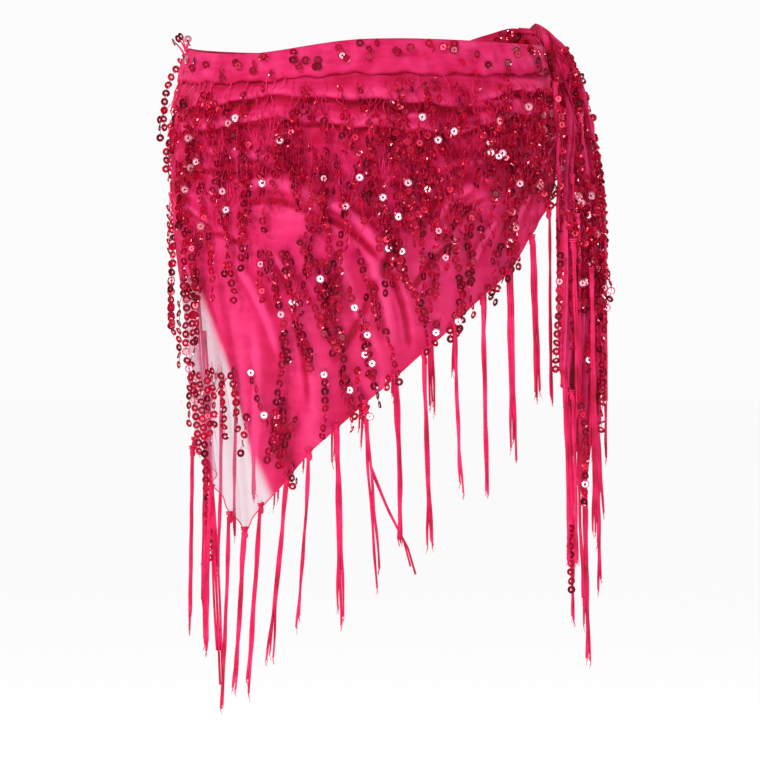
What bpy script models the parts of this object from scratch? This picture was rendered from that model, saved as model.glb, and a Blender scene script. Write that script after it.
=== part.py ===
"""A belly dance hip scarf as it is worn, hollow, with nobody in it.

It is a triangle of net. Its long edge is folded over into a band round the hips and tied at the wearer's
left hip, where the two ends hang as gathered tails. Its point hangs at the wearer's right hip. Tassels hang
from the two short edges, all the way from one tail's tip to the other's.

Metres, +Z up. The wearer faces -Y and has the left hip at +X. The origin is the middle of the opening at the
top edge. Angles go round the wearer in degrees: 0 in front, 90 at the left hip, 180 behind, 270 at the right.
"""

from collections import namedtuple
from math import cos, hypot, pi, radians, sin

import bmesh
import bpy
from mathutils import Vector

# Cloth and seams
CLOTH = 0.002  # wall of the net, gathered and folded
SEAM = 0.0003  # gap at a seam, and between pieces that lie on each other
SEAM_HALF_ANGLE = 0.08  # half of that gap, in degrees round the hips

# Where the stretches of the wound scarf meet
SIDE_ANGLE = -90  # the wearer's right hip, also 270
KNOT_ANGLE = 105  # just behind the wearer's left hip
POINT_ANGLE = -51  # the triangle's point hangs here
ROUND = 360

# The hips that the scarf is shaped on, widest below the top edge
HIP_HALF_WIDTH = 0.178
HIP_HALF_DEPTH = 0.120
Girth = namedtuple("Girth", "height half_width half_depth")
GIRTHS = (
    Girth(-0.460, 0.141, 0.103),
    Girth(-0.400, 0.146, 0.106),
    Girth(-0.350, 0.151, 0.109),
    Girth(-0.285, 0.158, 0.112),
    Girth(-0.235, 0.166, 0.115),
    Girth(-0.170, 0.176, 0.119),
    Girth(-0.110, HIP_HALF_WIDTH, HIP_HALF_DEPTH),
    Girth(-0.065, 0.176, 0.118),
    Girth(-0.030, 0.170, 0.112),
    Girth(0.000, 0.161, 0.104),
    Girth(0.030, 0.158, 0.102),
)

# The top edge dips in front and rises to the knot
Edge = namedtuple("Edge", "angle height")
TOP_EDGE = (
    Edge(-90, 0.000),
    Edge(-40, -0.011),
    Edge(0, 0.001),
    Edge(60, 0.000),
    Edge(90, 0.003),
    Edge(105, 0.013),
    Edge(120, 0.022),
    Edge(135, 0.017),
    Edge(150, 0.009),
    Edge(200, 0.002),
    Edge(270, 0.000),
)
# The two short edges of the triangle, from the point to the knot, in front and behind
FRONT_HEM = (
    Edge(-51, -0.451),
    Edge(-39, -0.423),
    Edge(-29, -0.397),
    Edge(-17, -0.368),
    Edge(-3, -0.336),
    Edge(25, -0.270),
    Edge(35, -0.243),
    Edge(49, -0.211),
    Edge(59, -0.177),
    Edge(70, -0.148),
    Edge(85, -0.095),
    Edge(97, -0.054),
    Edge(105, -0.044),
)
BACK_HEM = (
    Edge(105, -0.044),
    Edge(113, -0.054),
    Edge(128, -0.092),
    Edge(150, -0.140),
    Edge(180, -0.195),
    Edge(215, -0.262),
    Edge(245, -0.322),
    Edge(270, -0.368),
    Edge(291, -0.405),
    Edge(309, -0.451),
)

# The band, and the horizontal folds that the tied scarf is drawn into below it. A part is a share of the
# folded depth, and a ridge a share of the height that a fold stands out.
FOLDED_DEPTH = 0.090
FOLDED_SWING = 0.10  # share of that depth by which it grows and shrinks on the way round
FOLDED_SWINGS_ROUND = 3
FOLDED_SWING_START = 40  # degrees
MOST_FOLDED = 0.62  # share of the cloth's depth, where it narrows towards the knot
FOLD_HEIGHT = 0.0055
FOLD_SWING = 0.2  # share of that height by which the folds rise and sink on the way round
FOLD_SWINGS_ROUND = 2
KNOT_REACH = 60  # degrees from the knot within which the folds flatten
FLATTENED_AT_KNOT = 0.8  # share of their height
FoldRow = namedtuple("FoldRow", "part ridge")
FOLD_ROWS = (
    FoldRow(0.00, 0.00),
    FoldRow(0.12, 0.00),
    FoldRow(0.33, 0.00),
    FoldRow(0.37, 0.30),
    FoldRow(0.46, 0.80),
    FoldRow(0.55, 1.00),
    FoldRow(0.59, 0.20),
    FoldRow(0.69, 0.65),
    FoldRow(0.78, 0.90),
    FoldRow(0.82, 0.15),
    FoldRow(1.00, 0.00),
)
BAND_ROWS = 3  # of the fold rows, from the top
BAND_PUFF = 0.0012  # how far the folded band rounds out between its edges
HANGING_ROWS = 8
BACK_HANGING_ROWS = 6
COLUMN_ANGLE = 4.9  # degrees between columns, at most

# Soft vertical folds where the cloth hangs free below the hips
DRAPE_DEPTH = 0.0065
DRAPE_TOP = -0.13
DRAPE_RUN = 0.25
Wave = namedtuple("Wave", "share round start")  # share of the depth, waves round the hips, degrees
DRAPES = (
    Wave(0.65, 15, 0),
    Wave(0.35, 8, 70),
)

# The knot, as level sections from its flat underside up
KNOT_INSIDE = 2 * (CLOTH + SEAM) + BAND_PUFF + 0.0004  # from the hips to its back, which lies on the band
KNOT_SIDES = 18
KnotSection = namedtuple("KnotSection", "height half_angle depth")
KNOT_SECTIONS = (
    KnotSection(-0.034, 9.6, 0.0290),
    KnotSection(-0.029, 11.0, 0.0300),
    KnotSection(-0.020, 12.0, 0.0285),
    KnotSection(-0.009, 12.0, 0.0265),
    KnotSection(0.002, 11.4, 0.0235),
    KnotSection(0.010, 10.2, 0.0165),
    KnotSection(0.017, 8.4, 0.0100),
    KnotSection(0.022, 6.0, 0.0055),
    KnotSection(0.025, 3.6, 0.0028),
)
KNOT_LOOP = 0.0025  # how far the loop across the knot stands out
KNOT_LOOP_SHARE = 0.35  # of the knot's width
KNOT_LOBES = 0.10  # share of the depth by which its lobes swell
KNOT_ROUNDING = 0.8  # the power that makes its front fuller than an ellipse

# The two tails hang from the knot's underside. A section gives the middle of the wall, how wide and how
# deeply pleated it is, and which way its width runs from +X, in degrees.
TAIL_COLUMNS = 16
TAIL_ROWS = 10
TAIL_PLEATS = 2
TAIL_TOP = KNOT_SECTIONS[0].height - SEAM
TailSection = namedtuple("TailSection", "height x y width pleat turn")
FRONT_TAIL = (
    TailSection(-0.430, 0.187, -0.039, 0.038, 0.0026, 42),
    TailSection(-0.320, 0.1935, -0.0425, 0.055, 0.0038, 44),
    TailSection(-0.200, 0.1965, -0.037, 0.057, 0.0038, 45),
    TailSection(-0.150, 0.1955, -0.025, 0.054, 0.0036, 47),
    TailSection(-0.100, 0.1945, -0.005, 0.046, 0.0034, 54),
    TailSection(-0.060, 0.188, 0.0195, 0.034, 0.0028, 86),
    TailSection(TAIL_TOP, 0.1750, 0.0332, 0.024, 0.0018, 112),
)
BACK_TAIL = (
    TailSection(-0.210, 0.2105, 0.041, 0.042, 0.0034, 74),
    TailSection(-0.150, 0.2105, 0.043, 0.040, 0.0036, 78),
    TailSection(-0.100, 0.2080, 0.0455, 0.034, 0.0032, 88),
    TailSection(-0.060, 0.2010, 0.0425, 0.030, 0.0026, 100),
    TailSection(TAIL_TOP, 0.1880, 0.0385, 0.024, 0.0018, 112),
)
# How low the fringed edge of each tail reaches, at its front side and its back side
TailHem = namedtuple("TailHem", "front_side back_side")
FRONT_TAIL_HEM = TailHem(-0.300, -0.425)
BACK_TAIL_HEM = TailHem(-0.205, -0.130)

# Tassels: three cords each, from a narrow tape that lies on the cloth along its edge
TAPE_HEIGHT = 0.005
TAPE_THICKNESS = 0.0018
TAPE_GAP = 0.0004
CORDS = 3
CORD_ROOT = 0.0034  # width of a cord where it leaves the tape
CORD_HALF_WIDTH = 0.00095
CORD_LENGTH = 0.172
CORD_LENGTH_SWING = 0.014
CORD_LENGTH_STEP, CORD_LENGTH_START = 2.4, 1.0  # radians of that swing from one tassel to the next
SHORTER_CORD = 0.07  # share by which a cord of a tassel is shorter than the next longer one
CORD_STAND_OFF = 0.0026  # the nearest cord to the tape, and each further one from the last
TAIL_CORD_STAND_OFF = 0.0045
CORD_TURN_DROP = 0.006
CORD_SWAY = 0.0016
TASSEL_SWAY_STEP = 1.9  # radians of the sway from one tassel to the next
OUT_SWAY_STEP, OUT_SWAY_START = 2.2, 0.6  # radians of it down a cord, out of the cloth
SIDE_SWAY_STEP = 1.7  # and along it
CORD_SPREAD = 0.0008  # how far apart a tassel's cords drift at their tips
CORD_REACH = (0.30, 0.65, 1.0)  # shares of the length
TASSEL_EVERY = 2  # columns
FRINGE_STOPS = (78, 126)  # angles where the cloth turns into the knot and carries no tassels

PINK = (0.80, 0.035, 0.16, 1.0)
DEEP_PINK = (0.62, 0.020, 0.10, 1.0)


def along(table, place):
    """What a table gives at a place in its first column, on a smooth curve through its rows."""
    place = min(max(place, table[0][0]), table[-1][0])
    after = next(i for i in range(1, len(table)) if place <= table[i][0])
    run = table[after][0] - table[after - 1][0]
    part = (place - table[after - 1][0]) / run

    def slope(row, column):
        low, high = table[max(row - 1, 0)], table[min(row + 1, len(table) - 1)]
        return (high[column] - low[column]) / (high[0] - low[0])

    def value(column):
        start, end = table[after - 1][column], table[after][column]
        bend_in = run * slope(after - 1, column) * part * (1 - part) ** 2
        bend_out = run * slope(after, column) * part**2 * (1 - part)
        return start + (end - start) * part**2 * (3 - 2 * part) + bend_in - bend_out

    return [value(column) for column in range(1, len(table[0]))]


def smooth(share):
    share = min(max(share, 0.0), 1.0)
    return share * share * (3 - 2 * share)


def outward(angle):
    """The level direction straight out of the hips, the same at every height."""
    turn = radians(angle)
    return Vector((HIP_HALF_DEPTH * sin(turn), -HIP_HALF_WIDTH * cos(turn), 0)).normalized()


def hip_point(angle, height, out=0.0):
    half_width, half_depth = along(GIRTHS, height)
    turn = radians(angle)
    return Vector((half_width * sin(turn), -half_depth * cos(turn), height)) + outward(angle) * out


def top_edge(angle):
    return along(TOP_EDGE, angle)[0]


def hem(angle):
    if POINT_ANGLE <= angle <= KNOT_ANGLE:
        return along(FRONT_HEM, angle)[0]
    return along(BACK_HEM, angle % ROUND)[0]


def near_knot(angle):
    """1 at the knot, fading to 0 where its reach ends."""
    return smooth(1 - abs(angle - KNOT_ANGLE) / KNOT_REACH)


def folded_depth(angle):
    swing = FOLDED_SWING * sin(radians(FOLDED_SWINGS_ROUND * angle + FOLDED_SWING_START))
    return min(FOLDED_DEPTH * (1 + swing), MOST_FOLDED * (top_edge(angle) - hem(angle)))


def net_height(angle, row, hanging_rows):
    folded = folded_depth(angle)
    if row < len(FOLD_ROWS):
        return top_edge(angle) - folded * FOLD_ROWS[row].part
    share = (row - len(FOLD_ROWS) + 1) / hanging_rows
    lower_edge_of_folds = top_edge(angle) - folded
    return lower_edge_of_folds + share * (hem(angle) - lower_edge_of_folds)


def net_relief(angle, row, height):
    """How far the net stands off the hips: level folds at the top, soft hanging ones below."""
    if row < len(FOLD_ROWS):
        strength = 1 - FOLD_SWING + FOLD_SWING * sin(radians(FOLD_SWINGS_ROUND * angle))
        strength *= 1 - FLATTENED_AT_KNOT * near_knot(angle)
        return FOLD_HEIGHT * FOLD_ROWS[row].ridge * strength
    hang = smooth((DRAPE_TOP - height) / DRAPE_RUN)
    waves = sum(wave.share * sin(radians(wave.round * angle + wave.start)) for wave in DRAPES)
    return DRAPE_DEPTH * hang * waves


class Panel:
    """A stretch of cloth as two grids of points, inner and outer, column by column from its top edge down."""

    def __init__(self, stations, rows, place):
        self.stations = stations
        columns = [[place(station, row) for row in range(rows)] for station in stations]
        self.inner = [[inner for inner, _ in column] for column in columns]
        self.outer = [[outer for _, outer in column] for column in columns]

    def face_point(self, position, above):
        """A point on the outer face, at a position counted in columns and a height above the lower edge."""
        first = min(int(position), len(self.stations) - 2)
        ends = []
        for column in (self.outer[first], self.outer[first + 1]):
            lowest, next_up = column[-1], column[-2]
            ends.append(lowest.lerp(next_up, min(above / (next_up.z - lowest.z), 1.0)))
        return ends[0].lerp(ends[1], position - first)

    def face_direction(self, position):
        """The level direction out of the cloth at that position."""
        first = min(int(position), len(self.stations) - 2)
        ways = [
            (self.outer[column][-1] - self.inner[column][-1]).normalized()
            for column in (first, first + 1)
        ]
        return ways[0].lerp(ways[1], position - first).normalized()


def spread(first, last, most_apart):
    """Even stations from first to last, no further apart than asked."""
    steps = int((last - first) / most_apart) + 1
    return [first + (last - first) * step / steps for step in range(steps + 1)]


def net_panel(first_angle, last_angle, hanging_rows):
    angles = spread(first_angle + SEAM_HALF_ANGLE, last_angle - SEAM_HALF_ANGLE, COLUMN_ANGLE)

    def place(angle, row):
        height = net_height(angle, row, hanging_rows)
        relief = net_relief(angle, row, height)
        return hip_point(angle, height, relief), hip_point(angle, height, relief + CLOTH)

    return Panel(angles, len(FOLD_ROWS) + hanging_rows, place)


def tail_panel(sections, tail_hem):
    def place(across, row):
        lowest = tail_hem.front_side + across * (tail_hem.back_side - tail_hem.front_side)
        height = TAIL_TOP + (lowest - TAIL_TOP) * row / TAIL_ROWS
        x, y, width, pleat, turn = along(sections, height)
        turn = radians(turn)
        out = Vector((sin(turn), -cos(turn), 0))
        middle = Vector((x, y, height)) + Vector((cos(turn), sin(turn), 0)) * width * (across - 0.5)
        inner = middle + out * pleat * sin(2 * pi * TAIL_PLEATS * across)
        return inner, inner + out * CLOTH

    return Panel([column / TAIL_COLUMNS for column in range(TAIL_COLUMNS + 1)], TAIL_ROWS + 1, place)


def make_object(name, bm, material):
    bmesh.ops.recalc_face_normals(bm, faces=bm.faces)
    mesh = bpy.data.meshes.new(name)
    bm.to_mesh(mesh)
    bm.free()
    mesh.materials.append(material)
    mesh.shade_smooth()
    made = bpy.data.objects.new(name, mesh)
    bpy.context.scene.collection.objects.link(made)
    return made


def cloth_wall(name, inner, outer, material):
    """A closed wall from one grid of points out to another. Cells are split the same way on every wall."""
    bm = bmesh.new()
    order = bm.verts.layers.int.new("order")
    grid = [[bm.verts.new(point) for point in column] for column in inner]
    for number, vert in enumerate(vert for column in grid for vert in column):
        vert[order] = number
    places = [point for column in outer for point in column]
    faces = []
    for left, right in zip(grid, grid[1:]):
        for row in range(len(left) - 1):
            faces.append(bm.faces.new((left[row], left[row + 1], right[row + 1])))
            faces.append(bm.faces.new((left[row], right[row + 1], right[row])))
    made = bmesh.ops.extrude_face_region(bm, geom=faces)["geom"]
    for vert in made:
        if isinstance(vert, bmesh.types.BMVert):
            vert.co = places[vert[order]]
    return make_object(name, bm, material)


def band(name, panel, material):
    """The folded top of the scarf, from the net's own points moved out."""
    inner, outer = [], []
    for station, column in zip(panel.stations, panel.outer):
        way = outward(station)
        inner.append([point + way * SEAM for point in column[:BAND_ROWS]])
        puffs = [BAND_PUFF if 0 < row < BAND_ROWS - 1 else 0.0 for row in range(BAND_ROWS)]
        outer.append([point + way * (CLOTH + puff) for point, puff in zip(inner[-1], puffs)])
    return cloth_wall(name, inner, outer, material)


def knot_section(section):
    """A level section through the knot: its back follows the hips, its front is two lobes and a loop."""
    points = []
    for side in range(KNOT_SIDES):
        turn = 2 * pi * (side + 0.5) / KNOT_SIDES
        across, front = cos(turn), max(sin(turn), 0.0)
        loop = KNOT_LOOP * smooth(1 - abs(across) / KNOT_LOOP_SHARE)
        lobes = 1 - KNOT_LOBES * cos(2 * pi * across)
        depth = section.depth * front**KNOT_ROUNDING * lobes + (loop if front > 0 else 0.0)
        angle = KNOT_ANGLE + section.half_angle * across
        points.append(hip_point(angle, section.height, KNOT_INSIDE + depth))
    return points


def knot(material):
    bm = bmesh.new()
    rings = [[bm.verts.new(point) for point in knot_section(section)] for section in KNOT_SECTIONS]
    for ring in rings:
        for side, vert in enumerate(ring):
            bm.edges.new((vert, ring[(side + 1) % KNOT_SIDES]))
    bm.edges.index_update()
    for lower, upper in zip(rings, rings[1:]):
        edges = [edge for edge in bm.edges if set(edge.verts) <= set(lower) or set(edge.verts) <= set(upper)]
        bmesh.ops.bridge_loops(bm, edges=edges)
    bm.faces.new(rings[0])
    bm.faces.new(rings[-1])
    return make_object("knot", bm, material)


def tape_positions(panel, first, last):
    """Columns of the tape, and the numbers of the spans between them that are the roots of cords."""
    positions, roots = [float(first)], []
    for column in range(first, last):
        length = (panel.outer[column + 1][-1] - panel.outer[column][-1]).length
        if (column - first) % TASSEL_EVERY == 0:
            root = CORD_ROOT / length
            start = column + 0.5 - CORDS * root / 2
            roots.append(list(range(len(positions), len(positions) + CORDS)))
            positions += [start + cord * root for cord in range(CORDS + 1)]
        positions.append(column + 1.0)
    return positions, roots


def hang_cord(bm, face, across, out, stand_off, length, sway, drift):
    """Extrudes a root on the tape's outer face out, round and down into one cord."""
    corners = [vert.co.copy() for vert in face.verts]
    middle = sum(corners, Vector()) / len(corners)
    down, up = Vector((0, 0, -1)), Vector((0, 0, 1))
    sides = [1 if (corner - middle).dot(across) > 0 else -1 for corner in corners]
    mean_height = {
        side: sum(corner.z for corner, own in zip(corners, sides) if own == side) / 2 for side in (-1, 1)
    }
    tops = [1 if corner.z > mean_height[side] else -1 for corner, side in zip(corners, sides)]
    steps = [(out * stand_off + down * CORD_TURN_DROP, (out + up).normalized())]
    for number, reach in enumerate(CORD_REACH):
        swing = out * sway * sin(OUT_SWAY_STEP * number + OUT_SWAY_START)
        swing += across * (sway * cos(SIDE_SWAY_STEP * number) + drift * reach)
        steps.append((out * stand_off + down * (CORD_TURN_DROP + length * reach) + swing, out))
    for offset, front in steps:
        made = bmesh.ops.extrude_discrete_faces(bm, faces=[face])
        face = made["faces"][0]
        for vert, side, top in zip(face.verts, sides, tops):
            vert.co = middle + offset + (across * side + front * top) * CORD_HALF_WIDTH


def fringe(name, panel, first, last, nearest, material):
    """One tape along a panel's lower edge with all its tassels, from one column to another."""
    positions, tassels = tape_positions(panel, first, last)
    bm = bmesh.new()
    rings = []
    for position in positions:
        way = panel.face_direction(position)
        low, high = panel.face_point(position, 0.0), panel.face_point(position, TAPE_HEIGHT)
        ring = (low + way * TAPE_GAP, high + way * TAPE_GAP)
        ring += (ring[1] + way * TAPE_THICKNESS, ring[0] + way * TAPE_THICKNESS)
        rings.append([bm.verts.new(point) for point in ring])
    spans = []
    for left, right in zip(rings, rings[1:]):
        sides = [
            bm.faces.new((left[side], left[(side + 1) % 4], right[(side + 1) % 4], right[side]))
            for side in range(4)
        ]
        spans.append(sides[2])  # the outer face
    bm.faces.new(rings[0])
    bm.faces.new(rings[-1])
    bmesh.ops.recalc_face_normals(bm, faces=bm.faces)
    for number, roots in enumerate(tassels):
        ends = positions[roots[0]], positions[roots[-1] + 1]
        run = panel.face_point(ends[1], 0.0) - panel.face_point(ends[0], 0.0)
        across = Vector((run.x, run.y, 0)).normalized()
        out = Vector((across.y, -across.x, 0))
        if out.dot(panel.face_direction(sum(ends) / 2)) < 0:
            out.negate()
        length = CORD_LENGTH + CORD_LENGTH_SWING * sin(CORD_LENGTH_STEP * number + CORD_LENGTH_START)
        for cord, span in enumerate(roots):
            # The highest root stands off furthest, so no cord hangs through a lower one.
            rank = cord if run.z > 0 else CORDS - 1 - cord
            own_length = length * (1 - SHORTER_CORD * ((number + cord) % CORDS))
            hang_cord(
                bm,
                spans[span],
                across,
                out,
                nearest + CORD_STAND_OFF * rank,
                own_length,
                CORD_SWAY * sin(TASSEL_SWAY_STEP * number),
                CORD_SPREAD * (cord - 1),
            )
    return make_object(name, bm, material)


def clear_scene():
    for old in list(bpy.data.objects):
        bpy.data.objects.remove(old)


def make_material(name, colour, roughness):
    material = bpy.data.materials.new(name)
    material.use_nodes = True
    shader = material.node_tree.nodes["Principled BSDF"]
    shader.inputs["Base Color"].default_value = colour
    shader.inputs["Roughness"].default_value = roughness
    shader.inputs["Metallic"].default_value = 0.0
    return material


def main():
    clear_scene()
    net = make_material("net", PINK, 0.8)
    cord = make_material("cord", DEEP_PINK, 0.55)

    front = net_panel(SIDE_ANGLE, KNOT_ANGLE, HANGING_ROWS)
    back = net_panel(KNOT_ANGLE, SIDE_ANGLE + ROUND, BACK_HANGING_ROWS)
    front_tail = tail_panel(FRONT_TAIL, FRONT_TAIL_HEM)
    back_tail = tail_panel(BACK_TAIL, BACK_TAIL_HEM)

    cloth_wall("net_front", front.inner, front.outer, net)
    cloth_wall("net_back", back.inner, back.outer, net)
    band("band_front", front, net)
    band("band_back", back, net)
    knot(net)
    cloth_wall("tail_front", front_tail.inner, front_tail.outer, net)
    cloth_wall("tail_back", back_tail.inner, back_tail.outer, net)

    last_front = max(i for i, angle in enumerate(front.stations) if angle < FRINGE_STOPS[0])
    first_back = min(i for i, angle in enumerate(back.stations) if angle > FRINGE_STOPS[1])
    fringe("fringe_front", front, 0, last_front, CORD_STAND_OFF, cord)
    fringe("fringe_back", back, first_back, len(back.stations) - 1, CORD_STAND_OFF, cord)
    fringe("fringe_tail_front", front_tail, 0, TAIL_COLUMNS, TAIL_CORD_STAND_OFF, cord)
    fringe("fringe_tail_back", back_tail, 0, TAIL_COLUMNS, TAIL_CORD_STAND_OFF, cord)


main()
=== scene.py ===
# A belly dance hip scarf, worn and hollow: sheer pink net tied at one hip, with hanging
# chains of cupped sequins and a fringe of cord tassels. The CAD solids stay for physics.

import math
import random

import bmesh
import bpy
import numpy as np
from mathutils import Matrix, Vector


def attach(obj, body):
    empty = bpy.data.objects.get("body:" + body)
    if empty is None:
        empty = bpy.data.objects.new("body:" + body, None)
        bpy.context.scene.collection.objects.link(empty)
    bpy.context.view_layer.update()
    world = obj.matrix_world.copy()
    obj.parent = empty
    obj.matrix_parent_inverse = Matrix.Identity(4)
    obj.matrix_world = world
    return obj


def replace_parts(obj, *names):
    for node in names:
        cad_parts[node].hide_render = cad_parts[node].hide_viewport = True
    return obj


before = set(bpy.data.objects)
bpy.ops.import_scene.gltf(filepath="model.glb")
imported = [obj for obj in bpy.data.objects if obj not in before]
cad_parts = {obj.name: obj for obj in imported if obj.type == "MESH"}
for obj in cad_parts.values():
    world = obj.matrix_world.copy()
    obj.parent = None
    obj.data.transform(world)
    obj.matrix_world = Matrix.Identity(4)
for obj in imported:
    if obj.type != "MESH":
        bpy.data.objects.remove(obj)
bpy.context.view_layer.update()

# the hips that the scarf is shaped on: the same tables as the solids
worn = {
    "halfWidth": 0.178,
    "halfDepth": 0.120,
    # height, half width, half depth
    "girths": (
        (-0.460, 0.141, 0.103),
        (-0.400, 0.146, 0.106),
        (-0.350, 0.151, 0.109),
        (-0.285, 0.158, 0.112),
        (-0.235, 0.166, 0.115),
        (-0.170, 0.176, 0.119),
        (-0.110, 0.178, 0.120),
        (-0.065, 0.176, 0.118),
        (-0.030, 0.170, 0.112),
        (0.000, 0.161, 0.104),
        (0.030, 0.158, 0.102),
    ),
    # angle round the hips, height
    "topEdge": (
        (-90, 0.000),
        (-40, -0.011),
        (0, 0.001),
        (60, 0.000),
        (90, 0.003),
        (105, 0.013),
        (120, 0.022),
        (135, 0.017),
        (150, 0.009),
        (200, 0.002),
        (270, 0.000),
    ),
    "frontHem": (
        (-51, -0.451),
        (-39, -0.423),
        (-29, -0.397),
        (-17, -0.368),
        (-3, -0.336),
        (25, -0.270),
        (35, -0.243),
        (49, -0.211),
        (59, -0.177),
        (70, -0.148),
        (85, -0.095),
        (97, -0.054),
        (105, -0.044),
    ),
    "backHem": (
        (105, -0.044),
        (113, -0.054),
        (128, -0.092),
        (150, -0.140),
        (180, -0.195),
        (215, -0.262),
        (245, -0.322),
        (270, -0.368),
        (291, -0.405),
        (309, -0.451),
    ),
    "pointAngle": -51,
    "knotAngle": 105,
    "knotHeight": -0.008,
    "seamAngle": 0.08,
    "metresPerDegree": 0.00262,
}


def smoothTable(rows):
    # a smooth curve through a short table, from its first column to the others
    rows = np.array(rows, float)
    slopes = np.empty_like(rows)
    slopes[1:-1] = (rows[2:] - rows[:-2]) / (rows[2:, :1] - rows[:-2, :1])
    slopes[0] = (rows[1] - rows[0]) / (rows[1, 0] - rows[0, 0])
    slopes[-1] = (rows[-1] - rows[-2]) / (rows[-1, 0] - rows[-2, 0])

    def at(place):
        place = np.clip(np.asarray(place, float), rows[0, 0], rows[-1, 0])
        after = np.clip(np.searchsorted(rows[:, 0], place), 1, len(rows) - 1)
        start, end = rows[after - 1], rows[after]
        run = (end[..., 0] - start[..., 0])[..., None]
        part = ((place - start[..., 0]) / run[..., 0])[..., None]
        blend = start + (end - start) * part**2 * (3 - 2 * part)
        blend = blend + run * slopes[after - 1] * part * (1 - part) ** 2
        blend = blend - run * slopes[after] * part**2 * (1 - part)
        return blend[..., 1:]

    return at


girthAt = smoothTable(worn["girths"])
topAt = smoothTable(worn["topEdge"])
frontHemAt = smoothTable(worn["frontHem"])
backHemAt = smoothTable(worn["backHem"])


def ease(share):
    share = np.clip(share, 0.0, 1.0)
    return share * share * (3 - 2 * share)


def wave(degrees):
    return np.sin(np.radians(degrees))


def waveSum(rows, angle):
    # waves round the hips: height, how many go round, where each starts in degrees
    return sum(height * wave(times * angle + start) for height, times, start in rows)


def turned(angle):
    # the same angle, counted from the right hip round to it again: -90 to 270
    return (np.asarray(angle, float) + 90) % 360 - 90


def topEdge(angle):
    return topAt(turned(angle))[..., 0]


def hemEdge(angle):
    angle = turned(angle)
    inFront = (angle >= worn["pointAngle"]) & (angle <= worn["knotAngle"])
    behind = np.where(angle < worn["pointAngle"], angle + 360, angle)
    return np.where(inFront, frontHemAt(angle)[..., 0], backHemAt(behind)[..., 0])


def outward(angle):
    turn = np.radians(angle)
    way = np.stack(
        [worn["halfDepth"] * np.sin(turn), -worn["halfWidth"] * np.cos(turn), 0 * turn], -1
    )
    return way / np.linalg.norm(way, axis=-1)[..., None]


def hipPoint(angle, height, out):
    angle, height, out = np.broadcast_arrays(
        np.asarray(angle, float), np.asarray(height, float), np.asarray(out, float)
    )
    girth, turn = girthAt(height), np.radians(angle)
    flat = [girth[..., 0] * np.sin(turn), -girth[..., 1] * np.cos(turn), height]
    return np.stack(flat, -1) + outward(angle) * out[..., None]


def angleOf(point):
    # the angle round the hips of a point near them
    halfWidth, halfDepth = girthAt(point[2])
    return math.degrees(math.atan2(point[0] / halfWidth, -point[1] / halfDepth))


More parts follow.
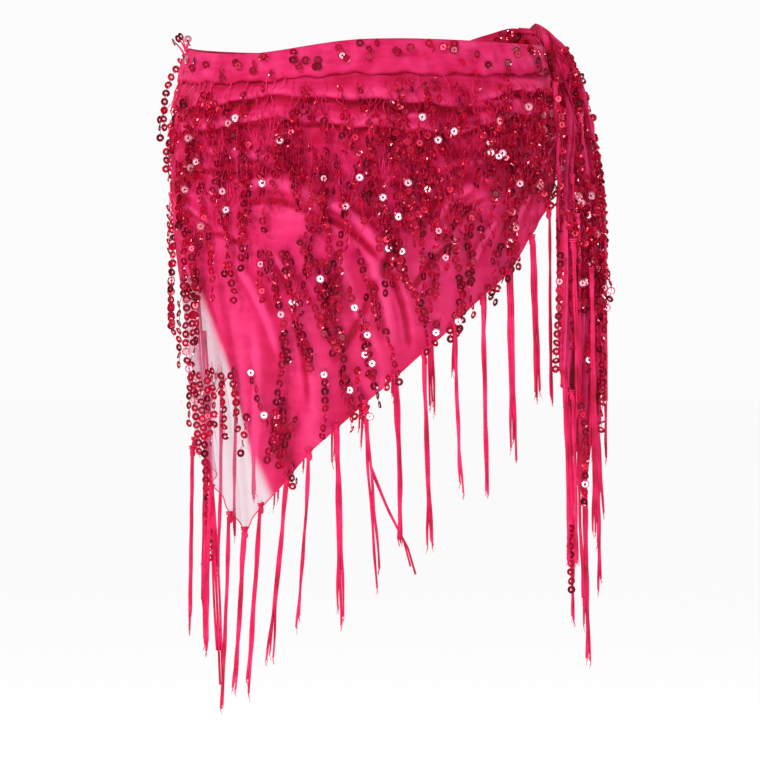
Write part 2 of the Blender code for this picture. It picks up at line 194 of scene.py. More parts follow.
# how the net lies: level folds under the band, soft hanging folds, creases and gathers
net = {
    "foldedDepth": 0.090,
    "foldedSwing": ((0.10, 3, 40),),
    "mostFolded": 0.62,  # share of the cloth's height
    "foldHeight": 0.0062,
    # mean, swing and how many times round, then also how far the swing leans with depth
    "foldStrength": (0.82, 0.18, 2),
    "foldFade": (0.80, 0.30, 7, 90),
    "foldSlant": ((0.050, 4, 200), (0.022, 9, 0), (0.010, 23, 0)),
    # painted shadow lines where the folds' undersides are darkest: part of the folded depth,
    # waves round
    "foldShadowLines": ((0.590, 6), (0.845, 4)),
    "foldShadowWander": ((0.020, 5, 30), (0.010, 17, 0)),
    "foldShadowWidth": 0.018,
    "foldShadowTone": 0.7,
    # how much darker the crowded upper part and the knot's side are: partly the red of their many
    # threads, partly painted shade
    "crowdedThreadsAndShade": 0.36,
    # how far round a place is looked at for the hollows that get painted shade, and the depth
    # that counts as one
    "shadedHollows": ((0.0045, 0.0014), (0.011, 0.0034)),
    "flatAtKnot": 0.72,
    "flatAtHip": 0.65,
    "flatReach": 28,
    "knotReach": 60,  # degrees
    # part of the folded depth, share of the fold's height
    "folds": (
        (0.00, 0.00),
        (0.31, 0.00),
        (0.36, 0.26),
        (0.46, 0.86),
        (0.550, 1.00),
        (0.578, 0.12),
        (0.63, 0.24),
        (0.73, 0.80),
        (0.805, 0.92),
        (0.832, 0.06),
        (0.90, 0.02),
        (1.00, 0.00),
    ),
    "drapeDepth": 0.0062,
    "drapeTop": -0.13,
    "drapeRun": 0.25,
    "drapes": ((0.65, 15, 0), (0.35, 8, 70)),
    # narrower folds where the cloth hangs free at its point
    "looseDrape": 0.45,
    "looseAngle": -70,
    "looseReach": 22,
    "looseTop": -0.16,
    "looseRun": 0.12,
    "gatherDepth": 0.0024,
    "gatherReach": 0.135,
    "gathers": 15,
    "gathersCurl": 9,
    "crumple": 0.0011,
    "middle": 0.0010,  # the middle of the solid wall
    "foldedRows": 0.36,  # share of the rows that the folded depth gets
    "creaseEnd": 0.3,  # share of a crease's length over which it dies away
    "creaseSharpness": 2.4,
    # creases: from angle and height to angle and height, bow, half width, how far it
    # stands out
    "creases": (
        (-42, -0.136, -12, -0.150, 0.013, 0.0100, 0.0052),
        (-42, -0.152, -12, -0.163, 0.011, 0.0050, -0.0030),
        (-60, -0.098, -22, -0.114, 0.005, 0.0060, 0.0030),
        (-64, -0.118, -30, -0.128, 0.004, 0.0050, -0.0022),
        (-82, -0.104, -58, -0.142, -0.006, 0.0060, 0.0026),
        (36, -0.128, 19, -0.178, -0.008, 0.0080, 0.0046),
        (40, -0.140, 23, -0.192, -0.008, 0.0050, -0.0028),
        (-14, -0.143, 5, -0.190, 0.006, 0.0065, 0.0046),
        (-15, -0.157, 5, -0.204, 0.006, 0.0040, -0.0034),
        (0, -0.186, 9, -0.290, 0.005, 0.0070, 0.0042),
        (4, -0.192, 15, -0.288, 0.006, 0.0042, -0.0034),
        (-72, -0.150, -50, -0.170, 0.006, 0.0045, 0.0026),
        (-56, -0.176, -36, -0.196, 0.008, 0.0040, -0.0020),
        (-32, -0.186, -20, -0.250, 0.006, 0.0050, 0.0026),
        (-26, -0.230, -20, -0.350, 0.006, 0.0055, -0.0024),
        (-58, -0.250, -46, -0.390, -0.006, 0.0055, 0.0028),
        (30, -0.178, 14, -0.236, -0.006, 0.0045, -0.0024),
        (44, -0.158, 34, -0.215, -0.005, 0.0045, 0.0024),
        (-8, -0.084, 24, -0.068, 0.005, 0.0045, 0.0026),
        (24, -0.064, 58, -0.052, 0.003, 0.0050, 0.0030),
        (16, -0.112, 60, -0.092, -0.006, 0.0055, 0.0026),
        (62, -0.126, 92, -0.046, 0.008, 0.0055, 0.0034),
        (50, -0.170, 86, -0.062, 0.010, 0.0060, 0.0032),
        (42, -0.192, 78, -0.082, 0.010, 0.0050, -0.0026),
        (-86, -0.130, -60, -0.215, 0.012, 0.0070, 0.0032),
        (-80, -0.180, -56, -0.300, 0.012, 0.0070, 0.0032),
        (-84, -0.230, -62, -0.380, 0.008, 0.0060, 0.0030),
        (-46, -0.190, -30, -0.300, 0.010, 0.0070, 0.0030),
        (-38, -0.250, -44, -0.410, 0.006, 0.0070, 0.0032),
        (-8, -0.170, 6, -0.290, -0.008, 0.0075, 0.0028),
        (12, -0.150, -12, -0.300, 0.008, 0.0060, -0.0022),
        (122, -0.060, 168, -0.094, 0.005, 0.0055, 0.0032),
        (124, -0.076, 158, -0.124, 0.005, 0.0050, -0.0022),
        (150, -0.098, 196, -0.122, 0.010, 0.0080, 0.0044),
        (152, -0.116, 194, -0.138, 0.009, 0.0050, -0.0026),
        (186, -0.120, 226, -0.140, 0.012, 0.0080, 0.0042),
        (214, -0.106, 262, -0.118, 0.006, 0.0055, 0.0030),
        (196, -0.140, 182, -0.182, -0.008, 0.0065, 0.0036),
        (236, -0.160, 222, -0.262, 0.008, 0.0070, 0.0030),
        (252, -0.170, 266, -0.330, 0.010, 0.0070, 0.0032),
        (240, -0.220, 250, -0.310, 0.008, 0.0055, -0.0022),
    ),
}
foldAt = smoothTable(net["folds"])


def foldedDepth(angle):
    angle = turned(angle)
    swing = 1 + waveSum(net["foldedSwing"], angle)
    room = net["mostFolded"] * (topEdge(angle) - hemEdge(angle))
    return np.minimum(net["foldedDepth"] * swing, room)


def nearKnot(angle):
    return ease(1 - np.abs(turned(angle) - worn["knotAngle"]) / net["knotReach"])


def creaseRelief(angle, height):
    relief = np.zeros(np.broadcast(angle, height).shape)
    along = worn["metresPerDegree"]
    for startAngle, startHeight, endAngle, endHeight, bow, halfWidth, depth in net["creases"]:
        start = np.array((startAngle * along, startHeight))
        run = np.array((endAngle * along, endHeight)) - start
        length = math.hypot(*run)
        run = run / length
        gapX, gapZ = angle * along - start[0], height - start[1]
        part = (gapX * run[0] + gapZ * run[1]) / length
        across = -gapX * run[1] + gapZ * run[0]
        across = across - bow * 4 * part * (1 - part)
        ends = ease(part / net["creaseEnd"]) * ease((1 - part) / net["creaseEnd"])
        ridge = np.exp(-((across / halfWidth) ** 2) * net["creaseSharpness"])
        relief = relief + depth * ends * ridge
    return relief


def netForm(angle, height):
    # the folds, the hanging waves, the gathers and the creases
    angle, height = turned(angle), np.asarray(height, float)
    part = (topEdge(angle) - height) / foldedDepth(angle)
    mean, swing, times = net["foldStrength"]
    strength = mean + swing * wave(times * angle)
    # the folds slant, part and fade a little on their way round, as rolled net does
    slant = waveSum(net["foldSlant"], angle)
    mean, swing, times, lean = net["foldFade"]
    fade = mean + swing * wave(times * angle + lean * part)
    folds = foldAt(part + slant * ease((part - 0.3) / 0.2))[..., 0] * (part < 1.1)
    fromHip = np.minimum(np.abs(angle + 90), np.abs(angle - 270))
    atHip = ease(1 - fromHip / net["flatReach"])
    folds = folds * strength * fade
    folds = folds * (1 - net["flatAtKnot"] * nearKnot(angle)) * (1 - net["flatAtHip"] * atHip)
    folds = folds * net["foldHeight"]
    hang = ease((net["drapeTop"] - height) / net["drapeRun"])
    waves = waveSum(net["drapes"], angle)
    loose = np.exp(-(((angle - net["looseAngle"]) / net["looseReach"]) ** 2))
    loose = loose * ease((net["looseTop"] - height) / net["looseRun"])
    waves = waves + net["looseDrape"] * loose * np.sin(np.radians(40 * angle) + 16 * height)
    # gathers that run into the knot
    sideways = (angle - worn["knotAngle"]) * worn["metresPerDegree"]
    upwards = height - worn["knotHeight"]
    distance = np.hypot(sideways, upwards)
    fan = net["gathers"] * np.arctan2(upwards, np.abs(sideways) + 0.004)
    fan = np.sin(fan + net["gathersCurl"] * distance)
    reach = ease(1 - distance / net["gatherReach"]) * ease(distance / 0.02)
    below = ease((part - 0.31) / 0.08)
    gathers = net["gatherDepth"] * fan * reach
    return (
        folds
        + net["drapeDepth"] * hang * waves
        + (gathers + creaseRelief(angle, height)) * below
    )


def netRelief(angle, height):
    # the weight of the sequins crumples the upper part as well
    angle, up = turned(angle), np.asarray(height, float)
    level = angle * worn["metresPerDegree"]
    rough = np.sin(120 * level + 2.2 * np.sin(60 * up)) * np.sin(260 * up + 50 * level)
    rough = rough + 0.6 * np.sin(75 * level - 190 * up + 1.5 * np.sin(60 * level))
    upper = 0.25 + 0.75 * ease((up + 0.20) / 0.06)
    below = ease((topEdge(angle) - up) / foldedDepth(angle) / 0.08 - 4)
    return netForm(angle, up) + net["crumple"] * rough * upper * below


def netPaintedShading(angle, height):
    # painted shading: above 0 is painted shade, down in a fold, along the folds' undersides and
    # where the sequins hang thick; below 0 is a painted highlight on a ridge
    here = netForm(angle, height)
    hollow = 0
    for reach, scale in net["shadedHollows"]:
        step = reach / worn["metresPerDegree"]
        around = netForm(angle, height + reach) + netForm(angle, height - reach)
        around = around + netForm(angle + step, height) + netForm(angle - step, height)
        hollow = hollow + (around / 4 - here) / scale
    thick = ease((height + 0.165) / 0.06) + nearKnot(angle) * ease((height + 0.24) / 0.08)
    part = (topEdge(angle) - height) / foldedDepth(angle)
    wander = waveSum(net["foldShadowWander"], angle)
    lines = 0
    for start, run in net["foldShadowLines"]:
        fade = 0.55 + 0.45 * wave(run * angle + 200 * start)
        away = (part - start - wander) / net["foldShadowWidth"]
        lines = lines + fade * np.exp(-(away**2))
    crowded = net["crowdedThreadsAndShade"] * np.clip(thick, 0, 1)
    return np.clip(hollow, -1, 1) + net["foldShadowTone"] * lines + crowded


def netPoint(angle, height, lift=0.0):
    # on the net's own surface, or lifted off it
    return hipPoint(angle, height, net["middle"] + lift + netRelief(angle, height))


def curveThrough(points, count):
    # a smooth line of points through a few given ones
    places = np.linspace(0, 1, len(points))
    return smoothTable(np.c_[places, np.array(points)])(np.linspace(0, 1, count))


def levelWay(out):
    # the level direction along the cloth, from the way out of it
    return np.array((-out[1], out[0], 0.0))


def meshFrom(work, name):
    mesh = bpy.data.meshes.new(name)
    work.to_mesh(mesh)
    work.free()
    return mesh


def placed(name, data):
    holder = bpy.data.objects.new(name, data)
    bpy.context.scene.collection.objects.link(holder)
    return holder


def coordinates(mesh):
    flat = np.empty(len(mesh.vertices) * 3)
    mesh.vertices.foreach_get("co", flat)
    return flat.reshape(-1, 3)


def addPiece(name, mesh, material, smooth=True):
    for polygon in mesh.polygons:
        polygon.use_smooth = smooth
    mesh.materials.append(material)
    piece = placed(name, mesh)
    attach(piece, "root")
    return piece


def giveAttribute(mesh, name, values):
    values = np.broadcast_to(values, len(mesh.vertices)).astype(np.float32)
    mesh.attributes.new(name, "FLOAT", "POINT").data.foreach_set("value", values)


def giveWeave(mesh, levels, heights):
    # the weave's own map, in metres of cloth
    corners = np.empty(len(mesh.loops), np.int32)
    mesh.loops.foreach_get("vertex_index", corners)
    places = np.stack([levels, heights], -1)[corners]
    mesh.uv_layers.new(name="cloth").data.foreach_set("uv", places.ravel())


def clothPiece(name, node, size, place, weave, full, hollow, wall=0):
    # a grid of cloth in the place of a node: u runs along it and v down it, and place
    # gives the point
    grid = bmesh.new()
    bmesh.ops.create_grid(grid, x_segments=size["columns"], y_segments=size["rows"], size=0.5)
    mesh = meshFrom(grid, name)
    flat = coordinates(mesh)
    u, v = flat[:, 0] + 0.5, 0.5 - flat[:, 1]
    mesh.vertices.foreach_set("co", place(u, v).ravel())
    giveWeave(mesh, *weave(u, v))
    giveAttribute(mesh, "fullness", full(u, v))
    # painted shading of the cloth's folds, which darkens or lightens the net's colour
    giveAttribute(mesh, "hollow", hollow(u, v))
    mesh.update()
    piece = addPiece(name, mesh, netMaterial)
    if wall:
        solid = piece.modifiers.new("wall", "SOLIDIFY")
        solid.thickness = wall
        solid.offset = 0
    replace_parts(piece, node)
    print(name, "area", round(clothArea(piece), 4))


def clothArea(piece):
    return sum(polygon.area for polygon in piece.data.polygons)


class Paint:
    # one socket of a material, so that a pattern reads as a sum
    def __init__(self, tree, socket=None):
        self.tree, self.socket = tree, socket

    def node(self, kind, settings=None, inputs=None, output=0):
        made = self.tree.nodes.new("ShaderNode" + kind)
        for key, value in (settings or {}).items():
            if key == "stops":
                ramp = made.color_ramp
                while len(ramp.elements) < len(value):
                    ramp.elements.new(0.5)
                for element, (place, colour) in zip(ramp.elements, value):
                    element.position, element.color = place, colour
            else:
                setattr(made, key, value)
        for key, value in (inputs or {}).items():
            if isinstance(value, Paint):
                self.tree.links.new(value.socket, made.inputs[key])
            else:
                made.inputs[key].default_value = value
        return Paint(self.tree, made.outputs[output])

    def noise(self, place, scale, detail, distortion=0.0):
        inputs = {"Vector": place, "Scale": scale, "Detail": detail, "Distortion": distortion}
        return self.node("TexNoise", inputs=inputs)

    def ramp(self, stops, tone):
        return self.node("ValToRGB", {"stops": stops}, {0: tone})

    def attribute(self, name):
        return self.node("Attribute", {"attribute_name": name}, output=2)

    def maths(self, operation, first, second):
        return self.node("Math", {"operation": operation}, {0: first, 1: second})

    def feed(self, shader, key):
        self.tree.links.new(self.socket, shader.inputs[key])

    def __add__(self, other):
        return self.maths("ADD", self, other)

    def __radd__(self, other):
        return self.maths("ADD", other, self)

    def __sub__(self, other):
        return self.maths("SUBTRACT", self, other)

    def __rsub__(self, other):
        return self.maths("SUBTRACT", other, self)

    def __mul__(self, other):
        return self.maths("MULTIPLY", self, other)

    def __rmul__(self, other):
        return self.maths("MULTIPLY", other, self)


def newMaterial(name, fixed):
    material = bpy.data.materials.new(name)
    material.use_nodes = True
    shader = material.node_tree.nodes["Principled BSDF"]
    for key, value in fixed.items():
        shader.inputs[key].default_value = value
    return Paint(material.node_tree), shader, material


netFinish = {
    # lit and shaded copies of the cloth's colour: from painted shade deep in a fold to a painted
    # highlight on a lit ridge
    "tones": (
        (0.16, (0.27, 0.001, 0.012, 1)),
        (0.38, (0.50, 0.003, 0.045, 1)),
        (0.62, (0.70, 0.017, 0.120, 1)),
        (0.92, (0.86, 0.050, 0.205, 1)),
    ),
    # shares of the tone: even, painted shade patches, crinkles, threads, painted shading of the
    # hollows, painted wrinkle shade
    "shares": (0.20, 0.30, 0.42, 0.12, 0.30, 0.55),
    "pale": (0.62, 0.27, 0.44, 1),
    "meshPitch": 0.0017,
    "crinkle": 60.0,
    "shadePatch": 14.0,
    "wrinkle": (26.0, 26.0, 105.0),  # level wrinkles: longer across than down
    "bump": 0.55,
    "bumpDistance": 0.0010,
}


def makeNetMaterial():
    paint, shader, material = newMaterial(
        "sheerPinkNet", {"Roughness": 0.75, "Specular IOR Level": 0.12}
    )
    weaveMap = paint.node("UVMap", {"uv_map": "cloth"})
    across = paint.node("SeparateXYZ", inputs={0: weaveMap})
    down = paint.node("SeparateXYZ", inputs={0: weaveMap}, output=1)
    turns = 2 * math.pi / netFinish["meshPitch"]
    one = paint.node("Math", {"operation": "SINE"}, {0: (across + down) * turns})
    other = paint.node("Math", {"operation": "SINE"}, {0: (across - down) * turns})
    gaps = (one * one) * (other * other)  # 0 on a thread, 1 in a gap of the mesh
    place = paint.node("TexCoord", output=3)
    crinkle = paint.noise(place, netFinish["crinkle"], 3.0)
    # painted shade: shadowy patches where the net is crumpled
    shadePatch = paint.noise(place, netFinish["shadePatch"], 2.0)
    long = paint.node(
        "VectorMath", {"operation": "MULTIPLY"}, {0: place, 1: netFinish["wrinkle"]}
    )
    wrinkle = paint.noise(long, 1.0, 4.0, 0.6)
    # the upper part is the more wrinkled, in its bumps and in its painted wrinkle shade
    height = paint.node("SeparateXYZ", inputs={0: place}, output=2)
    upper = paint.node("MapRange", inputs={0: height, 1: -0.22, 2: -0.10, 3: 0.35, 4: 1.0})
    wrinkle = (wrinkle - 0.5) * upper
    full, hollow = paint.attribute("fullness"), paint.attribute("hollow")
    even, shadePatches, crinkles, threads, shadedHollows, wrinkleShade = netFinish["shares"]
    # the tone mixes the net's own uneven colour and threads with painted shade: shadowy patches,
    # the folds' painted shading and painted wrinkle shade
    tone = even + shadePatches * shadePatch + crinkles * crinkle + threads * (1 - gaps)
    tone = tone - shadedHollows * hollow + wrinkleShade * wrinkle
    hue = paint.ramp(netFinish["tones"], tone)
    # sheer cloth is paler, because the light comes through it
    sheer = paint.node("MapRange", inputs={0: full, 1: 0.30, 2: 0.80, 3: 0.8, 4: 0.0})
    colour = paint.node(
        "Mix", {"data_type": "RGBA"}, {0: sheer, 6: hue, 7: netFinish["pale"]}, output=2
    )
    colour.feed(shader, "Base Color")
    (full * (1.06 - 0.10 * gaps)).feed(shader, "Alpha")
    bump = paint.node(
        "Bump",
        inputs={
            "Strength": netFinish["bump"],
            "Distance": netFinish["bumpDistance"],
            "Height": 0.4 * gaps + 2.2 * crinkle + 6.0 * wrinkle,
        },
    )
    bump.feed(shader, "Normal")
    return material


cordFinish = {
    "tones": (
        (0.34, (0.48, 0.003, 0.040, 1)),
        (0.52, (0.76, 0.010, 0.100, 1)),
        (0.74, (0.92, 0.040, 0.200, 1)),
    ),
    "streak": 42.0,
    "fuzz": 1400.0,
    "bump": 0.5,
    "bumpDistance": 0.0002,
}


def makeCordMaterial():
    paint, shader, material = newMaterial(
        "silkyCord", {"Roughness": 0.5, "Specular IOR Level": 0.2}
    )
    place = paint.node("TexCoord", output=3)
    streak = paint.noise(place, cordFinish["streak"], 2.0)
    fuzz = paint.noise(place, cordFinish["fuzz"], 2.0)
    paint.ramp(cordFinish["tones"], 0.75 * streak + 0.25 * fuzz).feed(shader, "Base Color")
    strength, distance = cordFinish["bump"], cordFinish["bumpDistance"]
    bump = paint.node(
        "Bump", inputs={"Strength": strength, "Distance": distance, "Height": fuzz}
    )
    bump.feed(shader, "Normal")
    return material


# from dark through ruby and red, to a pale pink that paints a glint on the few that face the
# light
sequinTones = (
    (0.0, (0.090, 0.0004, 0.007, 1)),
    (0.45, (0.66, 0.004, 0.048, 1)),
    (0.82, (0.86, 0.008, 0.062, 1)),
    (1.0, (1.00, 0.480, 0.600, 1)),
)


def makeSequinMaterial():
    paint, shader, material = newMaterial(
        "rubySequin",
        {
            "Metallic": 0.60,
            "Roughness": 0.27,
            "Coat Weight": 0.8,
            "Coat Roughness": 0.12,
            "Coat IOR": 1.5,
        },
    )
    paint.ramp(sequinTones, paint.attribute("tone")).feed(shader, "Base Color")
    return material


netMaterial = makeNetMaterial()
cordMaterial = makeCordMaterial()
sequinMaterial = makeSequinMaterial()
print("materials made")


# The two hip stretches of net
hipStretches = {
    "netFront": {
        "node": "net_front",
        "band": ("bandFront", "band_front"),
        "from": -90,
        "to": 105,
        "columns": 300,
        "rows": 220,
    },
    "netBack": {
        "node": "net_back",
        "band": ("bandBack", "band_back"),
        "from": 105,
        "to": 270,
        "columns": 250,
        "rows": 180,
    },
}
# how full the cloth looks: the free hanging corner at the right hip is sheer
fullness = {
    "body": 0.985,
    "folded": 0.995,
    "point": 0.30,
    "pointAngle": -62,
    "pointHeight": -0.235,
    "pointSlope": 147,
    "pointTop": -0.195,
    "pointFolds": 0.08,
}


def alongStretch(stretch):
    # from the first to the last angle of a stretch, as a function of 0 to 1
    first, last = stretch["from"] + worn["seamAngle"], stretch["to"] - worn["seamAngle"]
    return lambda u: first + (last - first) * u


def netFullness(angle, height):
    angle = turned(angle)
    part = (topEdge(angle) - height) / foldedDepth(angle)
    folded = ease((1.15 - part) / 0.4)
    rich = np.maximum(folded, nearKnot(angle))
    full = fullness["body"] + (fullness["folded"] - fullness["body"]) * rich
    edge = fullness["pointAngle"] + fullness["pointSlope"] * (fullness["pointHeight"] - height)
    # the same on both sides of the right hip
    fromFront = np.where(angle > 90, 180 - angle, angle)
    free = ease((edge - fromFront) / 5 + 0.5) * ease((fullness["pointTop"] - height) / 0.05)
    # and it lies in soft upright folds, fuller and thinner by turns
    folds = fullness["pointFolds"]
    free = free * (1 - folds + folds * np.sin(np.radians(47 * angle) + 14 * height))
    return full + (fullness["point"] - full) * free


def netHeight(angle, v):
    # the folded depth has more than its share of the rows
    share, top = net["foldedRows"], topEdge(angle)
    folded = foldedDepth(angle)
    below = top - folded - hemEdge(angle)
    upper = top - folded * v / share
    lower = top - folded - below * (v - share) / (1 - share)
    return np.where(v < share, upper, lower)


for name, stretch in hipStretches.items():
    angleAt = alongStretch(stretch)

    def onNet(u, v):
        return angleAt(u), netHeight(angleAt(u), v)

    clothPiece(
        name,
        stretch["node"],
        stretch,
        lambda u, v: netPoint(*onNet(u, v)),
        lambda u, v: (angleAt(u) * worn["metresPerDegree"], netHeight(angleAt(u), v)),
        lambda u, v: netFullness(*onNet(u, v)),
        lambda u, v: netPaintedShading(*onNet(u, v)),
    )


# The top edge, folded over into a band
band = {
    "share": 0.33,  # of the folded depth
    "puff": 0.0021,
    "lift": 0.0016,
    "wall": 0.0007,
    "fullness": 0.975,
    "edgeWander": ((0.0011, 21, 0), (0.0008, 47, 30)),
    "crease": 0.42,  # how far down the band it runs
    "sequinRoom": (0.004, 0.026),  # below the top edge
    "sequinLift": 0.0058,
    "insideSequins": 26,
    "columns": 220,
    "rows": 12,
}


def bandSoftness(angle, v):
    soft = 0.0007 * wave(33 * angle + 300 * v) + 0.0005 * wave(71 * angle - 200 * v)
    drag = 0.0006 * np.sin(9 * v + 1.5 * wave(11 * angle)) * (0.6 + 0.4 * wave(5 * angle))
    return soft + drag


def bandPaintedShading(angle, v):
    # painted shading: painted shadow at its lower edge and along a few soft level creases,
    # painted shade and highlight on its soft bulges
    away = (v - band["crease"] - 0.10 * wave(7 * angle)) / 0.07
    crease = np.exp(-(away**2)) * wave(4 * angle + 50)
    return 0.25 * crease - 110 * bandSoftness(angle, v) + 0.8 * ease((v - 0.88) / 0.12)


for stretch in hipStretches.values():
    angleAt, (name, node) = alongStretch(stretch), stretch["band"]

    def bandHeight(u, v):
        angle = angleAt(u)
        deep = foldedDepth(angle) * band["share"]
        return topEdge(angle) - (deep + waveSum(band["edgeWander"], angle)) * v

    def bandPlace(u, v):
        angle = angleAt(u)
        rounded = np.sqrt(np.clip(1 - (2 * v - 1) ** 2, 0, 1))
        lift = band["lift"] + (band["puff"] + bandSoftness(angle, v)) * rounded
        return netPoint(angle, bandHeight(u, v), lift)

    clothPiece(
        name,
        node,
        band,
        bandPlace,
        lambda u, v: (angleAt(u) * worn["metresPerDegree"], bandHeight(u, v)),
        lambda u, v: band["fullness"] + 0 * u,
        lambda u, v: bandPaintedShading(angleAt(u), v),
        band["wall"],
    )


# The two gathered tails below the knot
tails = {
    "top": -0.0240,
    "columns": 84,
    "rows": 110,
    "fullness": 0.99,
    "thinner": 0.02,  # at the hem
    "opened": 0.12,  # the width of the cloth with its pleats opened
    "seat": 0.001,  # how far the cloth's middle stands out
    "leftShare": 0.46,  # of the width, on the left of a section's middle
    "widthShare": 0.96,
    "frontHem": (-0.300, -0.425),
    "backHem": (-0.205, -0.130),
    # height, x, y, width, pleat, turn of the width from +X
    "front": (
        (-0.430, 0.187, -0.039, 0.038, 0.0026, 42),
        (-0.320, 0.1935, -0.0425, 0.055, 0.0038, 44),
        (-0.200, 0.1965, -0.037, 0.057, 0.0038, 45),
        (-0.150, 0.1955, -0.025, 0.054, 0.0036, 47),
        (-0.100, 0.1945, -0.005, 0.046, 0.0034, 54),
        (-0.060, 0.188, 0.0195, 0.034, 0.0028, 86),
        (-0.0343, 0.1770, 0.0345, 0.029, 0.0020, 112),
        (-0.0240, 0.1745, 0.0360, 0.026, 0.0016, 116),
    ),
    "back": (
        (-0.210, 0.2105, 0.041, 0.042, 0.0034, 74),
        (-0.150, 0.2105, 0.043, 0.040, 0.0036, 78),
        (-0.100, 0.2080, 0.0455, 0.034, 0.0032, 88),
        (-0.060, 0.2010, 0.0425, 0.030, 0.0026, 100),
        (-0.0343, 0.1900, 0.0400, 0.027, 0.0018, 112),
        (-0.0240, 0.1860, 0.0400, 0.024, 0.0016, 114),
    ),
}


def pleats(u, height):
    # shares of a tail's pleat depth: two broad ones, and finer ones that wander
    fine = 0.9 * np.sin(2 * math.pi * (6.5 * u + 0.35 * np.sin(9 * height)) + 1.2)
    finer = 0.5 * np.sin(2 * math.pi * (13 * u + 2.2 * height))
    return np.sin(4 * math.pi * u) + fine + finer


class Tail:
    # one tail of the scarf, as a grid of cloth
    def __init__(self, sections, hem):
        self.sections, self.hem = smoothTable(sections), hem

    def height(self, u, v):
        lowest = self.hem[0] + u * (self.hem[1] - self.hem[0])
        return tails["top"] + (lowest - tails["top"]) * v

    def outOf(self, height):
        turn = np.radians(self.sections(height)[..., 4])
        return np.stack([np.sin(turn), -np.cos(turn), 0 * turn], -1)

    def place(self, u, v):
        height = self.height(u, v)
        x, y, width, pleat, turn = np.moveaxis(self.sections(height), -1, 0)
        turn = np.radians(turn)
        along = np.stack([np.cos(turn), np.sin(turn), 0 * turn], -1)
        across = width * (tails["widthShare"] * u - tails["leftShare"])
        stand = tails["seat"] + pleat * pleats(u, height)
        middle = np.stack([x, y, height], -1)
        return middle + along * across[..., None] + self.outOf(height) * stand[..., None]

    def hollow(self, u, v):
        # painted shade in the pleats' troughs and a painted highlight on their ridges
        return np.clip(-0.8 * pleats(u, self.height(u, v)) + 0.55, -0.8, 1.6)

    def full(self, u, v):
        return tails["fullness"] - tails["thinner"] * v

    def weave(self, u, v):
        return u * tails["opened"], self.height(u, v)

    def push(self, spot, lift):
        # keeps a hanging bead in front of the cloth
        x, y, width, pleat, turn = self.sections(spot[2])
        out, middle = self.outOf(spot[2]), np.array((x, y, spot[2]))
        along = levelWay(out)
        aside, half = float((spot - middle) @ along), width / 2 - 0.003
        spot = spot - along * 0.7 * (aside - min(max(aside, -half), half))
        stand = float((spot - middle) @ out)
        least = tails["seat"] + 1.3 * pleat + lift
        if spot[2] > min(self.hem) and stand < least:
            spot = spot + out * (least - stand)
        return spot, out


hangingTails = {
    "tailFront": Tail(tails["front"], tails["frontHem"]),
    "tailBack": Tail(tails["back"], tails["backHem"]),
}
for name, node in (("tailFront", "tail_front"), ("tailBack", "tail_back")):
    tail = hangingTails[name]
    clothPiece(name, node, tails, tail.place, tail.weave, tail.full, tail.hollow)


# The knot: the back of the scarf comes over the band and is pulled through itself
knot = {
    "seat": 0.0062,
    "fullness": 0.99,
    # height, half angle, depth
    "sections": (
        (-0.034, 9.6, 0.0290),
        (-0.029, 11.0, 0.0300),
        (-0.020, 12.0, 0.0285),
        (-0.009, 12.0, 0.0265),
        (0.002, 11.4, 0.0235),
        (0.010, 10.2, 0.0165),
        (0.017, 8.4, 0.0100),
        (0.022, 6.0, 0.0055),
        (0.025, 3.6, 0.0028),
    ),
    "pleats": 17,
    "pleatDepth": 0.0013,
    "slantFrom": 0.020,
    "slant": 16,
    "rolledPleats": 15,
    "halfAngle": 12,
    "chains": 18,
    "pleatRadius": (0.0012, 0.0024),
    # the rolled pleats go on down the tails through these heights
    "tailHeights": (-0.050, -0.080, -0.115, -0.150),
    "frontShare": 0.62,  # of the rolled pleats that run into the front tail
    # the back's top edge rolls over the knot and runs down the outer side of the tails
    "rolledEdge": (
        (0.1430, 0.0420, 0.0200),
        (0.1674, 0.0360, 0.0158),
        (0.1816, 0.0300, 0.0065),
        (0.1938, 0.0240, -0.0120),
        (0.2031, 0.0240, -0.0395),
        (0.2096, 0.0260, -0.0645),
        (0.2139, 0.0260, -0.0924),
        (0.2172, 0.0250, -0.1252),
        (0.2196, 0.0250, -0.1534),
        (0.2180, 0.0270, -0.1900),
    ),
    # and the front's edge rolls in where it goes under the tail
    "innerEdge": (
        (0.1735, -0.0440, -0.0340),
        (0.1768, -0.0480, -0.0780),
        (0.1776, -0.0500, -0.1200),
        (0.1774, -0.0520, -0.1700),
    ),
}


def knotFolds(across, height):
    # pleats that sweep from the back over the knot and down into the tails
    lean = across - knot["slant"] * (height - knot["slantFrom"]) * 0.35
    wander = 0.35 * np.sin(70 * height + 2 * across)
    ridges = np.sin(knot["pleats"] * lean + wander)
    return ridges + 0.45 * np.sin(2.3 * knot["pleats"] * lean - 40 * height)


